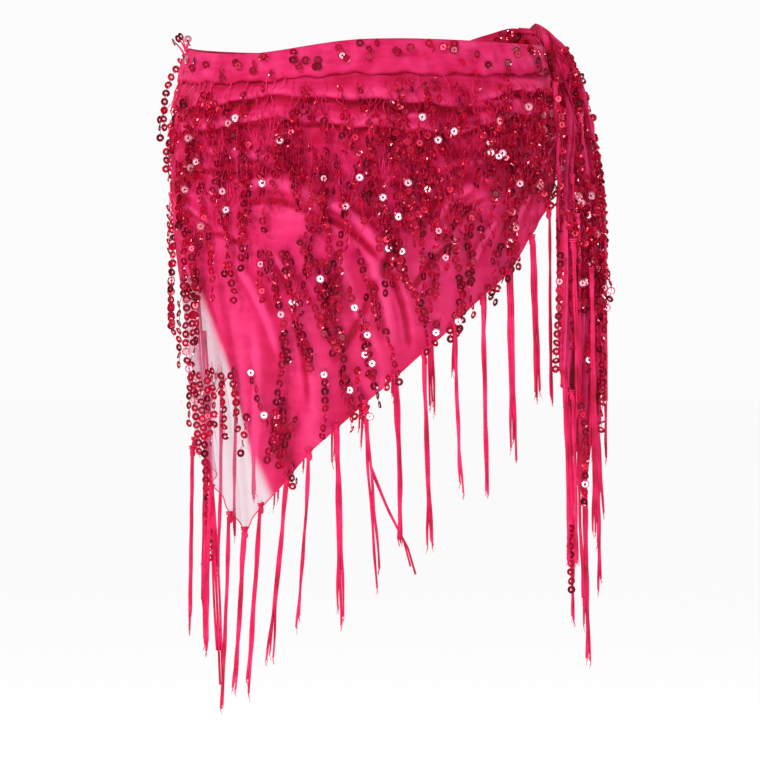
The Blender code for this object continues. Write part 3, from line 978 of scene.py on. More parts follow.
def makeKnot():
    tied = bmesh.new()
    bmesh.ops.create_uvsphere(tied, u_segments=96, v_segments=56, radius=1.0)
    bmesh.ops.recalc_face_normals(tied, faces=tied.faces)
    mesh = meshFrom(tied, "knotTied")
    x, y, z = coordinates(mesh).T
    low, high = knot["sections"][0][0], knot["sections"][-1][0]
    height = low + (high - low) * (z + 1) / 2
    halfAngle, depth = np.moveaxis(smoothTable(knot["sections"])(height), -1, 0)
    turn = np.arctan2(y, x)
    closing = np.sqrt(1 - np.abs(z) ** np.where(z < 0, 5, 9))
    across, front = np.cos(turn), np.clip(np.sin(turn), 0, 1)
    folds = knotFolds(across, height) * knot["pleatDepth"] * front**0.5
    lobes = 1 - 0.10 * np.cos(2 * math.pi * across)
    stand = (depth * front**0.8 * lobes + folds) * closing
    angle = worn["knotAngle"] + halfAngle * across * closing
    points = hipPoint(angle, height, knot["seat"] + stand)
    mesh.vertices.foreach_set("co", points.ravel())
    giveWeave(mesh, across * 0.03, height)
    giveAttribute(mesh, "fullness", knot["fullness"])
    # painted shade in the troughs of the knot's pleats and a painted highlight on their ridges
    giveAttribute(mesh, "hollow", np.clip(0.7 - 0.9 * knotFolds(across, height), -0.6, 1.8))
    mesh.update()
    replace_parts(addPiece("knotTied", mesh, netMaterial), "knot")


def knotStand(across, height):
    # how far the knot stands out of its seat
    depth = float(smoothTable(knot["sections"])(height)[1])
    return depth * math.sqrt(max(1 - across**2, 0)) ** 0.8


def makeKnotPleats():
    # narrow rolled pleats that run from the back's top edge over the knot into the tails
    dice, lines = random.Random(31), []
    inFront = knot["frontShare"]
    for number in range(knot["rolledPleats"]):
        share = number / (knot["rolledPleats"] - 1)
        across = -0.97 + 1.5 * share
        tail = hangingTails["tailBack" if share > inFront else "tailFront"]
        u = np.array([share / inFront if share <= inFront else (share - inFront) / (1 - inFront)])
        u = 0.04 + 0.92 * u
        angle, start = worn["knotAngle"] + knot["halfAngle"] * across, 98 + 24 * share
        path = [
            hipPoint(start + 4, float(topEdge(start + 4)) - 0.002, 0.004),
            hipPoint(
                (start + angle) / 2,
                0.010 - 0.006 * (1 - share),
                0.010 + 0.6 * knotStand(across, 0.008),
            ),
            hipPoint(angle, -0.010, knot["seat"] + knotStand(across, -0.010) + 0.0010),
            hipPoint(angle + 1, -0.026, knot["seat"] + 0.96 * knotStand(across, -0.026)),
        ]
        for height in knot["tailHeights"]:
            v = (height - tails["top"]) / (float(tail.height(u, 1.0)[0]) - tails["top"])
            point = tail.place(u, np.array([v]))[0]
            path.append(point + tail.outOf(height) * 0.0018)
        steps = np.linspace(0, 1, 34)
        thick = dice.uniform(*knot["pleatRadius"]) * (1 - 0.75 * np.abs(2 * steps - 0.9) ** 3)
        lines.append((curveThrough(path, len(steps)), np.maximum(thick, 0.0004)))
    steps = np.linspace(0, 1, 60)
    for edge, shift, thick in (
        ("rolledEdge", (0, 0, 0), 0.0021),
        ("rolledEdge", (-0.0034, -0.0050, -0.0010), 0.0017),
        ("innerEdge", (0, 0, 0), 0.0020),
    ):
        curve = curveThrough(np.array(knot[edge]) + shift, len(steps))
        curve[:, 0] += 0.0006 * np.sin(19 * steps + 400 * thick)
        lines.append((curve, thick * (1 + 0.22 * np.sin(31 * steps)) * (1 - 0.7 * steps**6)))
    mesh = cordMesh("knotPleats", lines, sides=2)
    flat = coordinates(mesh)
    giveWeave(mesh, flat[:, 1], flat[:, 2])
    giveAttribute(mesh, "fullness", knot["fullness"])
    # painted shade that comes and goes along the rolled pleats
    giveAttribute(mesh, "hollow", 0.55 + 0.5 * np.sin(900 * flat[:, 1] + 60 * flat[:, 2]))
    addPiece("knotPleats", mesh, netMaterial)


def cordMesh(name, lines, sides=1):
    # cords from lines of points, with a radius for each point, through a curve
    curve = bpy.data.curves.new(name, "CURVE")
    curve.dimensions = "3D"
    curve.bevel_depth = 1.0
    curve.bevel_resolution = sides
    curve.use_fill_caps = True
    for points, radii in lines:
        count = len(points)
        spline = curve.splines.new("POLY")
        spline.points.add(count - 1)
        spline.points.foreach_set("co", np.c_[points, np.ones(count)].ravel())
        spline.points.foreach_set("radius", np.broadcast_to(radii, count).astype(float))
    holder = placed(name, curve)
    bpy.context.view_layer.update()
    seen = holder.evaluated_get(bpy.context.evaluated_depsgraph_get())
    mesh = bpy.data.meshes.new_from_object(seen)
    mesh.name = name
    bpy.data.objects.remove(holder)
    bpy.data.curves.remove(curve)
    return mesh


makeKnot()
makeKnotPleats()
print("knot tied")


# Tassels: a few smooth cords side by side from a wrapped head on the edge, split at the end
tassel = {
    "length": 0.172,
    "lengthSwing": 0.012,
    "standOff": 0.0042,
    "cords": (2, 2, 3, 3),
    "cordRadius": 0.00128,
    "cordLength": (0.90, 1.02),  # shares of the tassel's
    "splitFrom": 0.72,
    "bend": 0.0016,
    "step": 0.0040,
    "pitch": 0.00195,  # from one cord to the next
    "frayLength": 0.010,
    "frays": 3,
    "frayRadius": 0.00032,
    "headRadius": 0.0027,
    "headHeight": 0.0042,
    "wrapHeights": (-0.0040, -0.0057),
    "wrapRadius": 0.00085,
    "neckRadius": 0.0021,
}


def tasselLines(hem, out, across, length, slant, dice):
    # the cords of one tassel, and the fibres of their split ends
    cords, frays = [], []
    down = np.array((0, 0, -1.0))
    bend, phase = dice.gauss(0, tassel["bend"]), dice.uniform(0, 6)
    turnOver = dice.uniform(0.3, 1.3)
    strands = dice.choice(tassel["cords"])
    for cord in range(strands):
        own = length * dice.uniform(*tassel["cordLength"])
        run = np.linspace(0, own, int(own / tassel["step"]))
        share = run / own
        # side by side, crossing over slowly, and apart at the end
        side = (cord - (strands - 1) / 2) * tassel["pitch"]
        roll = phase + turnOver * 2.4 * share
        split = ease((share - tassel["splitFrom"]) / (1 - tassel["splitFrom"]))
        part = 1 + dice.uniform(0.1, 1.1) * split
        gather = 0.45 + 0.55 * ease(run / 0.014)
        aside = side * gather * part * (0.72 + 0.28 * np.cos(roll)) + slant * share**1.15
        aside = aside + bend * np.sin(3.0 * share + phase) * share
        aside = aside + 0.00035 * np.sin(15 * share + phase + 2 * cord)
        forth = abs(side) * 0.5 * np.sin(roll + cord) + 0.002 * share
        middle = (
            hem
            + out * (tassel["standOff"] * ease(run / 0.006) + forth)[:, None]
            + across * aside[:, None]
            + down * (run - 0.003)[:, None]
        )
        thick = 1 + 0.10 * np.sin(26 * share + phase + cord) - 0.25 * share**8
        cords.append((middle, tassel["cordRadius"] * thick))
        for fray in range(tassel["frays"]):
            reach = tassel["frayLength"] * dice.uniform(0.4, 1.0)
            aim = across * dice.uniform(-0.16, 0.16) + out * dice.uniform(-0.12, 0.16)
            steps = np.linspace(0, 1, 5)
            curl = across * dice.uniform(-0.001, 0.001)
            points = (
                middle[-1]
                + down * (steps * reach - 0.002)[:, None]
                + aim * (steps**1.4 * reach)[:, None]
                + curl * np.sin(steps * 5)[:, None]
            )
            frays.append((points, tassel["frayRadius"] * (1.25 - 0.7 * steps)))
    return cords, frays


def headShape():
    # a small knot: a squeezed ball with two wraps of cord round its neck
    head = bmesh.new()
    ball = bmesh.ops.create_uvsphere(head, u_segments=12, v_segments=7, radius=1.0)
    for vert in ball["verts"]:
        turn = math.atan2(vert.co.y, vert.co.x)
        ridge = 1 + 0.12 * math.sin(3 * turn + 5 * vert.co.z)
        vert.co.x *= tassel["headRadius"] * ridge
        vert.co.y *= tassel["headRadius"] * ridge * 0.85
        vert.co.z *= tassel["headHeight"]
    for height in tassel["wrapHeights"]:
        ring = bmesh.ops.create_circle(head, segments=5, radius=tassel["wrapRadius"])
        lift = Matrix.Translation((tassel["neckRadius"], 0, height))
        lift = lift @ Matrix.Rotation(math.pi / 2, 4, "X")
        bmesh.ops.transform(head, matrix=lift, verts=ring["verts"])
        edges = list({edge for vert in ring["verts"] for edge in vert.link_edges})
        bmesh.ops.spin(
            head,
            geom=ring["verts"] + edges,
            cent=(0, 0, 0),
            axis=(0.06, 0, 1),
            angle=2 * math.pi,
            steps=10,
            use_merge=True,
        )
    bmesh.ops.recalc_face_normals(head, faces=head.faces)
    return meshFrom(head, "headShape")


def joined(name, shape, places, tones=None):
    # many copies of one small shape as one mesh
    base = coordinates(shape)
    starts = np.empty(len(shape.polygons), int)
    shape.polygons.foreach_get("loop_start", starts)
    corners = np.empty(len(shape.loops), int)
    shape.loops.foreach_get("vertex_index", corners)
    count = len(places)
    turns = np.array([place[0] for place in places])
    spots = np.array([place[1] for place in places])
    points = np.einsum("nij,vj->nvi", turns, base) + spots[:, None, :]
    mesh = bpy.data.meshes.new(name)
    mesh.vertices.add(len(base) * count)
    mesh.vertices.foreach_set("co", points.ravel())
    mesh.loops.add(len(corners) * count)
    shift = np.arange(count)[:, None]
    mesh.loops.foreach_set("vertex_index", (corners + shift * len(base)).ravel())
    mesh.polygons.add(len(starts) * count)
    mesh.polygons.foreach_set("loop_start", (starts + shift * len(corners)).ravel())
    mesh.update(calc_edges=True)
    if tones is not None:
        giveAttribute(mesh, "tone", np.repeat(np.array(tones, float), len(base)))
    return mesh


def basis(across, out):
    return np.stack([across, out, np.cross(across, out)], -1)


def combined(name, meshes):
    whole = bmesh.new()
    for mesh in meshes:
        whole.from_mesh(mesh)
        bpy.data.meshes.remove(mesh)
    return meshFrom(whole, name)


# piece, node, edge that it hangs from, columns of the solid's edge, first and last column
# with tassels, seed
fringes = (
    ("fringeFront", "fringe_front", "netFront", 40, 0, 34, 3),
    ("fringeBack", "fringe_back", "netBack", 34, 5, 34, 5),
    ("fringeTailFront", "fringe_tail_front", "tailFront", 16, 0, 16, 7),
    ("fringeTailBack", "fringe_tail_back", "tailBack", 16, 0, 16, 9),
)
# tassels of the tails' rolled side edges, which hang in front of the cloth: how far
# across and how far down the cloth each starts, and its length
sideTassels = {
    "fringeTailFront": (
        (-0.03, 0.03, 0.195),
        (-0.05, 0.22, 0.185),
        (0.00, 0.42, 0.180),
        (-0.03, 0.64, 0.175),
        (0.03, 0.14, 0.190),
        (0.08, 0.34, 0.180),
        (0.05, 0.56, 0.175),
        (0.16, 0.04, 0.200),
        (0.22, 0.44, 0.170),
        (0.28, 0.20, 0.185),
        (0.34, 0.66, 0.170),
        (0.42, 0.06, 0.200),
        (0.46, 0.36, 0.185),
        (0.52, 0.54, 0.175),
        (0.60, 0.16, 0.190),
        (0.64, 0.76, 0.165),
        (0.72, 0.40, 0.180),
        (0.78, 0.07, 0.195),
        (0.84, 0.28, 0.185),
        (0.88, 0.60, 0.175),
        (0.95, 0.46, 0.180),
        (0.97, 0.80, 0.165),
    ),
    "fringeTailBack": (
        (0.10, 0.12, 0.175),
        (0.30, 0.50, 0.170),
        (0.45, 0.05, 0.175),
        (0.62, 0.30, 0.170),
        (0.80, 0.62, 0.165),
    ),
}
# how far the tassels swing sideways as they hang: angle round the hips, sideways
slants = ((-60, -0.004), (-40, -0.012), (-26, -0.014), (-12, 0.004), (20, 0.005), (60, 0.003))
slantAt = smoothTable(slants)


def edgePlace(edge, u, v=1.0):
    # a point on the fringed edge, the way out of the cloth and the level way along it
    if edge in hipStretches:
        stretch = hipStretches[edge]
        angle = stretch["from"] + (stretch["to"] - stretch["from"]) * u
        point, out = netPoint(angle, hemEdge(angle)), outward(np.array(float(angle)))
    else:
        tail = hangingTails[edge]
        point = tail.place(np.array([u]), np.array([v]))[0]
        out = tail.outOf(point[2])
    return np.array(point), out, levelWay(out)


def makeFringe(name, node, edge, columns, first, last, seed):
    dice = random.Random(seed)
    cords, frays, heads = [], [], []

    def hangTassel(hem, out, across, length):
        angle = angleOf(hem)
        slant = float(slantAt(angle)[0]) if -60 < angle < 60 else 0.002
        slant = slant + dice.gauss(0, 0.0022)
        newCords, newFrays = tasselLines(hem, out, across, length, slant, dice)
        cords.extend(newCords)
        frays.extend(newFrays)
        spin, size = dice.uniform(-0.6, 0.6), dice.uniform(0.9, 1.15)
        aside = across * math.cos(spin) + out * math.sin(spin)
        away = out * math.cos(spin) - across * math.sin(spin)
        seat = hem + out * (tassel["standOff"] - 0.0010) - np.array((0, 0, 0.0035))
        heads.append((basis(aside, away) * size, seat))

    for number, column in enumerate(range(first, last, 2)):
        hem, out, across = edgePlace(edge, (column + 0.5) / columns)
        length = tassel["length"] + tassel["lengthSwing"] * math.sin(2.4 * number + 1.0)
        hangTassel(hem, out, across, length * dice.uniform(0.95, 1.02))
    for u, v, length in sideTassels.get(name, ()):
        start, out, across = edgePlace(edge, u, v)
        hangTassel(start + out * 0.0035, out, across, length)
    shape = headShape()
    mesh = combined(
        name,
        [
            cordMesh("cords", cords, sides=2),
            cordMesh("frays", frays, sides=0),
            joined("heads", shape, heads),
        ],
    )
    bpy.data.meshes.remove(shape)
    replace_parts(addPiece(name, mesh, cordMaterial), node)
    print(name, len(heads), "tassels", len(mesh.polygons), "faces")


for fringe in fringes:
    makeFringe(*fringe)


# The overlocked edge all along the hem and the tails
overlockRadius = 0.00055


def makeOverlock():
    lines = []
    for name, stretch in hipStretches.items():
        u = np.linspace(0.0005, 0.9995, 300)
        angle = stretch["from"] + (stretch["to"] - stretch["from"]) * u
        lines.append((netPoint(angle, hemEdge(angle)), overlockRadius))
    for tail in hangingTails.values():
        u = np.linspace(0, 1, 90)
        lines.append((tail.place(u, 0 * u + 1), overlockRadius))
        v = np.linspace(0.02, 1, 100)
        for side in (0, 1):
            lines.append((tail.place(0 * v + side, v), overlockRadius))
    mesh = cordMesh("overlockedEdge", lines, sides=1)
    addPiece("overlockedEdge", mesh, cordMaterial)


makeOverlock()
print("edges overlocked")


# Sequins: cupped rounds with a hole, strung in hanging chains
sequin = {
    "radius": 0.0038,
    "lift": 0.0016,  # off the cloth, lying flat
    "edgeLift": 0.0032,  # and more where one stands on edge
    "flat": 0.0028,
    "hole": 0.00120,
    "cup": 0.0008,
    "film": 0.00016,
    "spacing": 0.0086,
    "thread": 0.00034,
    "looseThread": 0.00050,
    "segments": 10,
    "glints": 0.046,  # the share that faces the light just so
    "glintTones": (0.90, 1.0),
    "darkTones": (0.05, 0.38),
    "redTones": (0.40, 0.80),
    "fall": (0.84, 1.06),  # shares of the spacing, from one to the next
}


def sequinShape():
    film, cup = sequin["film"], sequin["cup"]
    outline = (
        (sequin["hole"], film),
        (sequin["flat"], film),
        (sequin["radius"], cup),
        (sequin["flat"], 0),
    )
    shape = bmesh.new()
    verts = [shape.verts.new((radius, 0, height)) for radius, height in outline]
    edges = [shape.edges.new((verts[i - 1], verts[i])) for i in range(len(verts))]
    bmesh.ops.spin(
        shape,
        geom=verts + edges,
        cent=(0, 0, 0),
        axis=(0, 0, 1),
        angle=2 * math.pi,
        steps=sequin["segments"],
        use_merge=True,
    )
    bmesh.ops.recalc_face_normals(shape, faces=shape.faces)
    return meshFrom(shape, "sequinShape")


class Chains:
    # collects the sequins and threads of one group of chains
    def __init__(self, seed):
        self.dice = random.Random(seed)
        self.places, self.tones, self.threads = [], [], []

    def sequinAt(self, spot, out, yaw, pitch, roll, dark=0.55):
        dice = self.dice
        chance = dice.random()
        if chance < sequin["glints"]:
            face = np.array((0.035 + 0.9 * out[0] * (abs(out[1]) < 0.6), out[1], 0.15))
            face = face + np.array([dice.gauss(0, 0.02) for axis in range(3)])
            out, yaw, pitch = face / np.linalg.norm(face), 0, 0
            # a pale tone at the top of the ramp: a painted glint, on top of their real reflection
            # of the front light
            tone = dice.uniform(*sequin["glintTones"])
        elif chance < dark:
            tone = dice.uniform(*sequin["darkTones"])
        else:
            tone = dice.uniform(*sequin["redTones"])
        across = levelWay(out)
        across = across / np.linalg.norm(across)
        frameOf = np.stack([across, np.cross(out, across), out], -1)
        turn = Matrix.Rotation(yaw, 3, "Y") @ Matrix.Rotation(pitch, 3, "X")
        turn = turn @ Matrix.Rotation(roll, 3, "Z")
        self.places.append((frameOf @ np.array(turn), spot))
        self.tones.append(tone)

    def chain(self, start, count, push, drift=0.0, mess=0.3, lift=sequin["lift"]):
        # hangs straight down from where it is sewn, unless the cloth holds it off
        dice = self.dice
        spot, out = push(np.array(start), 0.0010)
        points = [spot.copy()]
        facing = dice.gauss(0, 0.4 + mess)
        for bead in range(count):
            across = levelWay(out)
            fall = sequin["spacing"] * dice.uniform(*sequin["fall"])
            sideways = drift + dice.gauss(0, 0.0007 + 0.0016 * mess)
            drop = math.sqrt(fall**2 - min(abs(sideways), 0.006) ** 2)
            spot = spot + across * sideways - np.array((0, 0, drop))
            facing = facing * 0.7 + dice.gauss(0, 0.35 + 0.55 * mess)
            yaw = facing if dice.random() > 0.10 + 0.22 * mess else dice.uniform(0.9, 2.2)
            room = lift + sequin["edgeLift"] * abs(math.sin(yaw))
            spot, out = push(spot, room)
            pitch, roll = dice.gauss(0, 0.16 + 0.35 * mess), dice.uniform(0, 3)
            self.sequinAt(spot, out, yaw, pitch, roll, 0.80 - 0.58 * mess)
            points.append(spot.copy())
        self.threads.append((np.array(points), sequin["thread"]))

    def string(self, depth, line):
        # one chain along a line of across and height, at a stated depth
        dice, line = self.dice, np.array(line, float)
        lengths = np.r_[0, np.cumsum(np.linalg.norm(np.diff(line, axis=0), axis=1))]
        at = smoothTable(np.c_[lengths, line])
        beads = at(np.arange(0.004, lengths[-1], 0.93 * sequin["spacing"]))
        for x, z in beads:
            spot = np.array((x, depth + dice.gauss(0, 0.001), z))
            yaw = dice.gauss(0, 0.45)
            self.sequinAt(spot, np.array((0, -1.0, 0)), yaw, dice.gauss(0, 0.25), 0)
        points = at(np.linspace(0, lengths[-1], 24))
        self.threads.append((np.insert(points, 1, depth, axis=1), sequin["thread"]))

    def piece(self, name):
        shape = sequinShape()
        mesh = joined(name, shape, self.places, self.tones)
        bpy.data.meshes.remove(shape)
        addPiece(name, mesh, sequinMaterial, smooth=False)
        print(name, len(self.places), "sequins")


def pushOffNet(spot, lift):
    angle = angleOf(spot)
    out = outward(np.array(angle))
    surface = netPoint(angle, max(spot[2], float(hemEdge(angle))), lift)
    short = float((surface - spot) @ out)
    if short > 0:
        spot = spot + out * short
    return spot, out


# rows of sewn-on chains: height, spacing along, fewest and most sequins, how messy
chainRows = (
    (-0.033, 0.0105, 2, 4, 1.0),
    (-0.043, 0.0110, 2, 5, 1.0),
    (-0.054, 0.0110, 3, 5, 1.0),
    (-0.065, 0.0110, 3, 6, 1.0),
    (-0.077, 0.0110, 3, 6, 0.9),
    (-0.089, 0.0110, 3, 7, 0.9),
    (-0.102, 0.0120, 4, 8, 0.8),
    (-0.118, 0.0130, 4, 8, 0.7),
    (-0.134, 0.0150, 4, 8, 0.6),
    (-0.155, 0.0160, 5, 9, 0.4),
    (-0.182, 0.0170, 5, 10, 0.35),
    (-0.215, 0.0160, 5, 10, 0.3),
    (-0.250, 0.0170, 5, 10, 0.3),
    (-0.290, 0.0180, 5, 10, 0.3),
    (-0.330, 0.0170, 5, 9, 0.35),
    (-0.370, 0.0150, 4, 8, 0.4),
    (-0.405, 0.0150, 3, 5, 0.4),
)
# where the front is thickly hung and where it is bare: across, height, reach, how much
clumps = (
    (-0.152, -0.060, 0.020, 0.25),
    (-0.106, -0.078, 0.022, 0.40),
    (-0.060, -0.087, 0.024, 0.60),
    (-0.023, -0.115, 0.022, 0.55),
    (0.023, -0.078, 0.020, 0.45),
    (0.060, -0.097, 0.024, 0.55),
    (0.097, -0.078, 0.022, 0.50),
    (0.143, -0.078, 0.026, 0.60),
    (0.168, -0.060, 0.020, 0.60),
    (-0.156, -0.115, 0.014, 0.25),
    (-0.106, -0.147, 0.015, 0.75),
    (-0.140, -0.140, 0.016, -0.35),
    (-0.032, -0.160, 0.020, 0.60),
    (0.028, -0.140, 0.018, 0.55),
    (0.064, -0.160, 0.020, 0.60),
    (0.078, -0.200, 0.018, 0.50),
    (0.118, -0.165, 0.020, 0.60),
    (-0.069, -0.212, 0.028, 0.70),
    (-0.041, -0.250, 0.024, 0.60),
    (-0.018, -0.205, 0.018, 0.45),
    (-0.023, -0.300, 0.020, 0.50),
    (0.023, -0.265, 0.016, 0.45),
    (0.062, -0.235, 0.014, 0.55),
    (-0.106, -0.325, 0.020, 0.55),
    (-0.087, -0.352, 0.016, 0.45),
    (-0.156, -0.200, 0.018, 0.25),
    (-0.140, -0.300, 0.016, 0.20),
    (-0.148, -0.250, 0.020, -0.20),
    (-0.128, -0.345, 0.026, -0.90),
    (-0.122, -0.395, 0.026, -0.90),
    (-0.122, -0.190, 0.022, -0.70),
    (-0.118, -0.250, 0.026, -0.80),
    (-0.062, -0.140, 0.022, -0.70),
    (0.090, -0.128, 0.016, -0.50),
    (0.145, -0.150, 0.014, -0.55),
    (0.041, -0.212, 0.016, -0.60),
    (0.000, -0.235, 0.016, -0.55),
    (-0.062, -0.310, 0.022, -0.60),
    (0.100, -0.215, 0.014, -0.45),
)


# how thickly chains are hung, as shares of the places that rows give
hanging = {
    "usual": 0.56,
    "lessAbove": 0.10,  # in the upper half
    "lessAtFolds": 0.03,
    "hipFront": 0.55,  # part of the usual that is left right at the hips
    "hipElsewhere": 0.20,
    "moreBehind": 0.16,  # low on the back
    "lessAtCorner": 0.45,  # but not behind the sheer corner
    "patches": 0.20,
}


def thickness(spot, angle):
    # how thickly chains are hung at a place: about 0 to 1.3
    thick = hanging["usual"] - hanging["lessAbove"] * float(ease((spot[2] + 0.15) / 0.03))
    thick -= hanging["lessAtFolds"] * float(ease((spot[2] + 0.082) / 0.012))
    # fewer right at the hips, where they would stand off the outline
    least = hanging["hipFront" if spot[1] < 0 and spot[2] > -0.19 else "hipElsewhere"]
    thick = thick * (least + (1 - least) * float(ease((abs(spot[1]) - 0.018) / 0.060)))
    if spot[1] > 0:
        low, corner = float(ease((-0.14 - spot[2]) / 0.03)), float(ease((angle - 215) / 25))
        thick = thick + low * (hanging["moreBehind"] - hanging["lessAtCorner"] * corner)
        patches = hanging["patches"]
        thick = thick + patches * float(wave(9 * angle) * np.cos(24 * spot[2]))
        return thick + patches * math.sin(math.radians(23 * angle + 60) - 33 * spot[2])
    for across, height, reach, much in clumps:
        gap = ((spot[0] - across) ** 2 + (spot[2] - height) ** 2) / reach**2
        thick += much * math.exp(-gap)
    return thick


def hangRows(upper, lower, firstAngle, lastAngle):
    for height, spacing, fewest, most, mess in chainRows:
        group = upper if height > -0.14 else lower
        dice = group.dice
        angle = firstAngle + 2
        while angle < lastAngle - 1:
            halfWidth, halfDepth = girthAt(height)
            turn = math.radians(angle)
            perDegree = math.hypot(halfWidth * math.cos(turn), halfDepth * math.sin(turn))
            angle += spacing / (perDegree * math.pi / 180) * dice.uniform(0.6, 1.4)
            start = height + dice.gauss(0, 0.006)
            start = start + float(topEdge(angle) * ease((height + 0.2) / 0.2))
            room = start - float(hemEdge(angle)) + 0.012
            count = min(dice.randint(fewest, most), int(room / sequin["spacing"]))
            spot = netPoint(angle, start)
            if count < 2 or dice.random() > thickness(spot, angle):
                continue
            # low in front the chains lie slantwise, and elsewhere they hang straight
            slant = 0.0024 if -62 < angle < 12 and height < -0.17 else 0.0006
            drift = dice.choice((-0.7, 1, 1)) * slant * dice.uniform(0.4, 1.3)
            for strand in range(dice.choice((1, 1, 2))):
                spotAngle = angle + strand * dice.uniform(1.2, 2.6)
                spot = netPoint(spotAngle, start + dice.uniform(-0.003, 0.003))
                less = dice.randint(0, 2) if strand else 0
                group.chain(spot, max(2, count - less), pushOffNet, drift, mess)


def bandSequins(group, firstAngle, lastAngle, every):
    dice = group.dice
    angle = firstAngle + 3
    while angle < lastAngle - 3:
        angle += every * dice.uniform(0.3, 1.7)
        height = float(topEdge(angle)) - dice.uniform(0.006, 0.024)
        for near in range(dice.choice((1, 1, 2, 3, 4))):
            spotAngle = angle + dice.uniform(-1.4, 1.4) * near
            down = height - dice.uniform(-0.008, 0.008) * min(near, 1)
            least, most = (float(topEdge(angle)) - room for room in band["sequinRoom"][::-1])
            spot = netPoint(spotAngle, min(max(down, least), most), band["sequinLift"])
            out = outward(np.array(float(spotAngle)))
            group.sequinAt(np.array(spot), out, dice.gauss(0, 0.45), dice.gauss(0, 0.3), 0)


def looseThreads(group, firstAngle, lastAngle, count):
    # short wriggling ends of thread on the crowded upper part
    dice, lines = group.dice, []
    for number in range(count):
        angle, height = dice.uniform(firstAngle, lastAngle), -0.030 - 0.13 * dice.random() ** 1.3
        reach, steps = dice.uniform(0.010, 0.034), np.linspace(0, 1, 9)
        phase, swing = dice.uniform(0, 6), dice.uniform(0.3, 1.0)
        aside = swing * np.sin(dice.uniform(4, 9) * steps + phase) * (0.4 + steps)
        aside = aside + dice.gauss(0, 1.2) * steps
        room = float(hemEdge(angle)) + 0.004
        heights = np.maximum(height - reach * steps, room)
        lift = 0.0012 + 0.0022 * np.abs(np.sin(5 * steps + phase))
        lines.append((netPoint(angle + aside, heights, lift), sequin["looseThread"]))
    return lines


frontUpper, frontLower = Chains(11), Chains(12)
hangRows(frontUpper, frontLower, -84, 104)
bandSequins(frontUpper, -86, 98, 6)
backUpper, backLower = Chains(17), Chains(18)
hangRows(backUpper, backLower, 124, 262)
bandSequins(backUpper, 122, 264, 7)

# chains that hang clear of the cloth down the right hip: angle, height, count, lift
for angle, height, count, lift in (
    (-89, -0.050, 4, 0.009),
    (-87, -0.085, 5, 0.002),
    (-88, -0.140, 6, 0.002),
    (-90, -0.185, 9, 0.004),
    (-86, -0.230, 8, 0.003),
    (-84, -0.285, 8, 0.004),
):
    spot = netPoint(angle, height)
    frontLower.chain(spot, count, pushOffNet, 0.0003, 0.5, lift)

# chains that swing clear of the cloth: depth, then across and height along each
for depth, line in (
    (0.004, ((-0.1739, -0.016), (-0.1831, -0.034), (-0.1870, -0.060), (-0.1858, -0.076))),
    (0.004, ((-0.1760, -0.078), (-0.1840, -0.094), (-0.1850, -0.114))),
    (-0.010, ((-0.1750, -0.156), (-0.1780, -0.198), (-0.1800, -0.234), (-0.1775, -0.268))),
    (-0.035, ((-0.1660, -0.198), (-0.1640, -0.234), (-0.1650, -0.280), (-0.1560, -0.322))),
    (-0.030, ((-0.1530, -0.300), (-0.1500, -0.340), (-0.1470, -0.390), (-0.1430, -0.474))),
    (-0.030, ((-0.1610, -0.290), (-0.1570, -0.330), (-0.1520, -0.380))),
):
    frontLower.string(depth, line)

# the inside of the back's top edge shows past the front, thick with sequins
for number in range(band["insideSequins"]):
    dice = backUpper.dice
    angle = dice.uniform(108, 128)
    height = float(topEdge(angle)) - dice.uniform(0.002, 0.020)
    spot = hipPoint(angle, height, -0.0024)
    backUpper.sequinAt(
        np.array(spot), -outward(np.array(angle)), dice.gauss(0, 0.6), dice.gauss(0, 0.4), 0
    )

# chains over the knot and the tails
tailChains = Chains(23)


def pushOffKnot(spot, lift):
    angle, height = angleOf(spot), float(spot[2])
    out = outward(np.array(angle))
    across = (angle - worn["knotAngle"]) / knot["halfAngle"]
    if height < knot["sections"][0][0]:
        return hangingTails["tailBack" if spot[1] > 0.022 else "tailFront"].push(spot, lift)
    stand = knot["seat"] + knotStand(across, height) + 0.0002 + 0.6 * lift
    surface = hipPoint(angle, height, stand)
    short = float((surface - spot) @ out)
    return (spot + out * short if short > 0 else spot), out


for number in range(knot["chains"]):
    dice = tailChains.dice
    angle = worn["knotAngle"] + dice.uniform(-knot["halfAngle"], -9)
    spot = hipPoint(angle, dice.uniform(-0.032, 0.010), knot["seat"])
    tailChains.chain(spot, dice.randint(2, 4), pushOffKnot, dice.gauss(0, 0.0004), 0.6)
for name, count, starts in (("tailFront", 36, (0.10, 0.74)), ("tailBack", 8, (0.25, 0.75))):
    tail = hangingTails[name]
    for number in range(count):
        dice = tailChains.dice
        u, v = np.array([dice.uniform(0.02, 0.98)]), np.array([dice.uniform(*starts)])
        tailChains.chain(
            tail.place(u, v)[0], dice.randint(4, 11), tail.push, dice.gauss(0, 0.0004), 0.8
        )

for depth, line in (
    (-0.052, ((0.1690, -0.112), (0.1700, -0.134), (0.1711, -0.154))),
    (-0.050, ((0.1770, -0.046), (0.1808, -0.076), (0.1800, -0.120), (0.1780, -0.188))),
    (-0.068, ((0.1785, -0.190), (0.1776, -0.234), (0.1757, -0.271), (0.1739, -0.301))),
    (-0.060, ((0.1886, -0.440), (0.1880, -0.470), (0.1890, -0.500))),
    (-0.030, ((0.2100, -0.186), (0.2190, -0.200), (0.2270, -0.222), (0.2210, -0.248))),
    (-0.030, ((0.2180, -0.298), (0.2130, -0.318), (0.2050, -0.336))),
    (-0.062, ((0.1960, -0.320), (0.2020, -0.360), (0.2010, -0.420))),
):
    tailChains.string(depth, line)

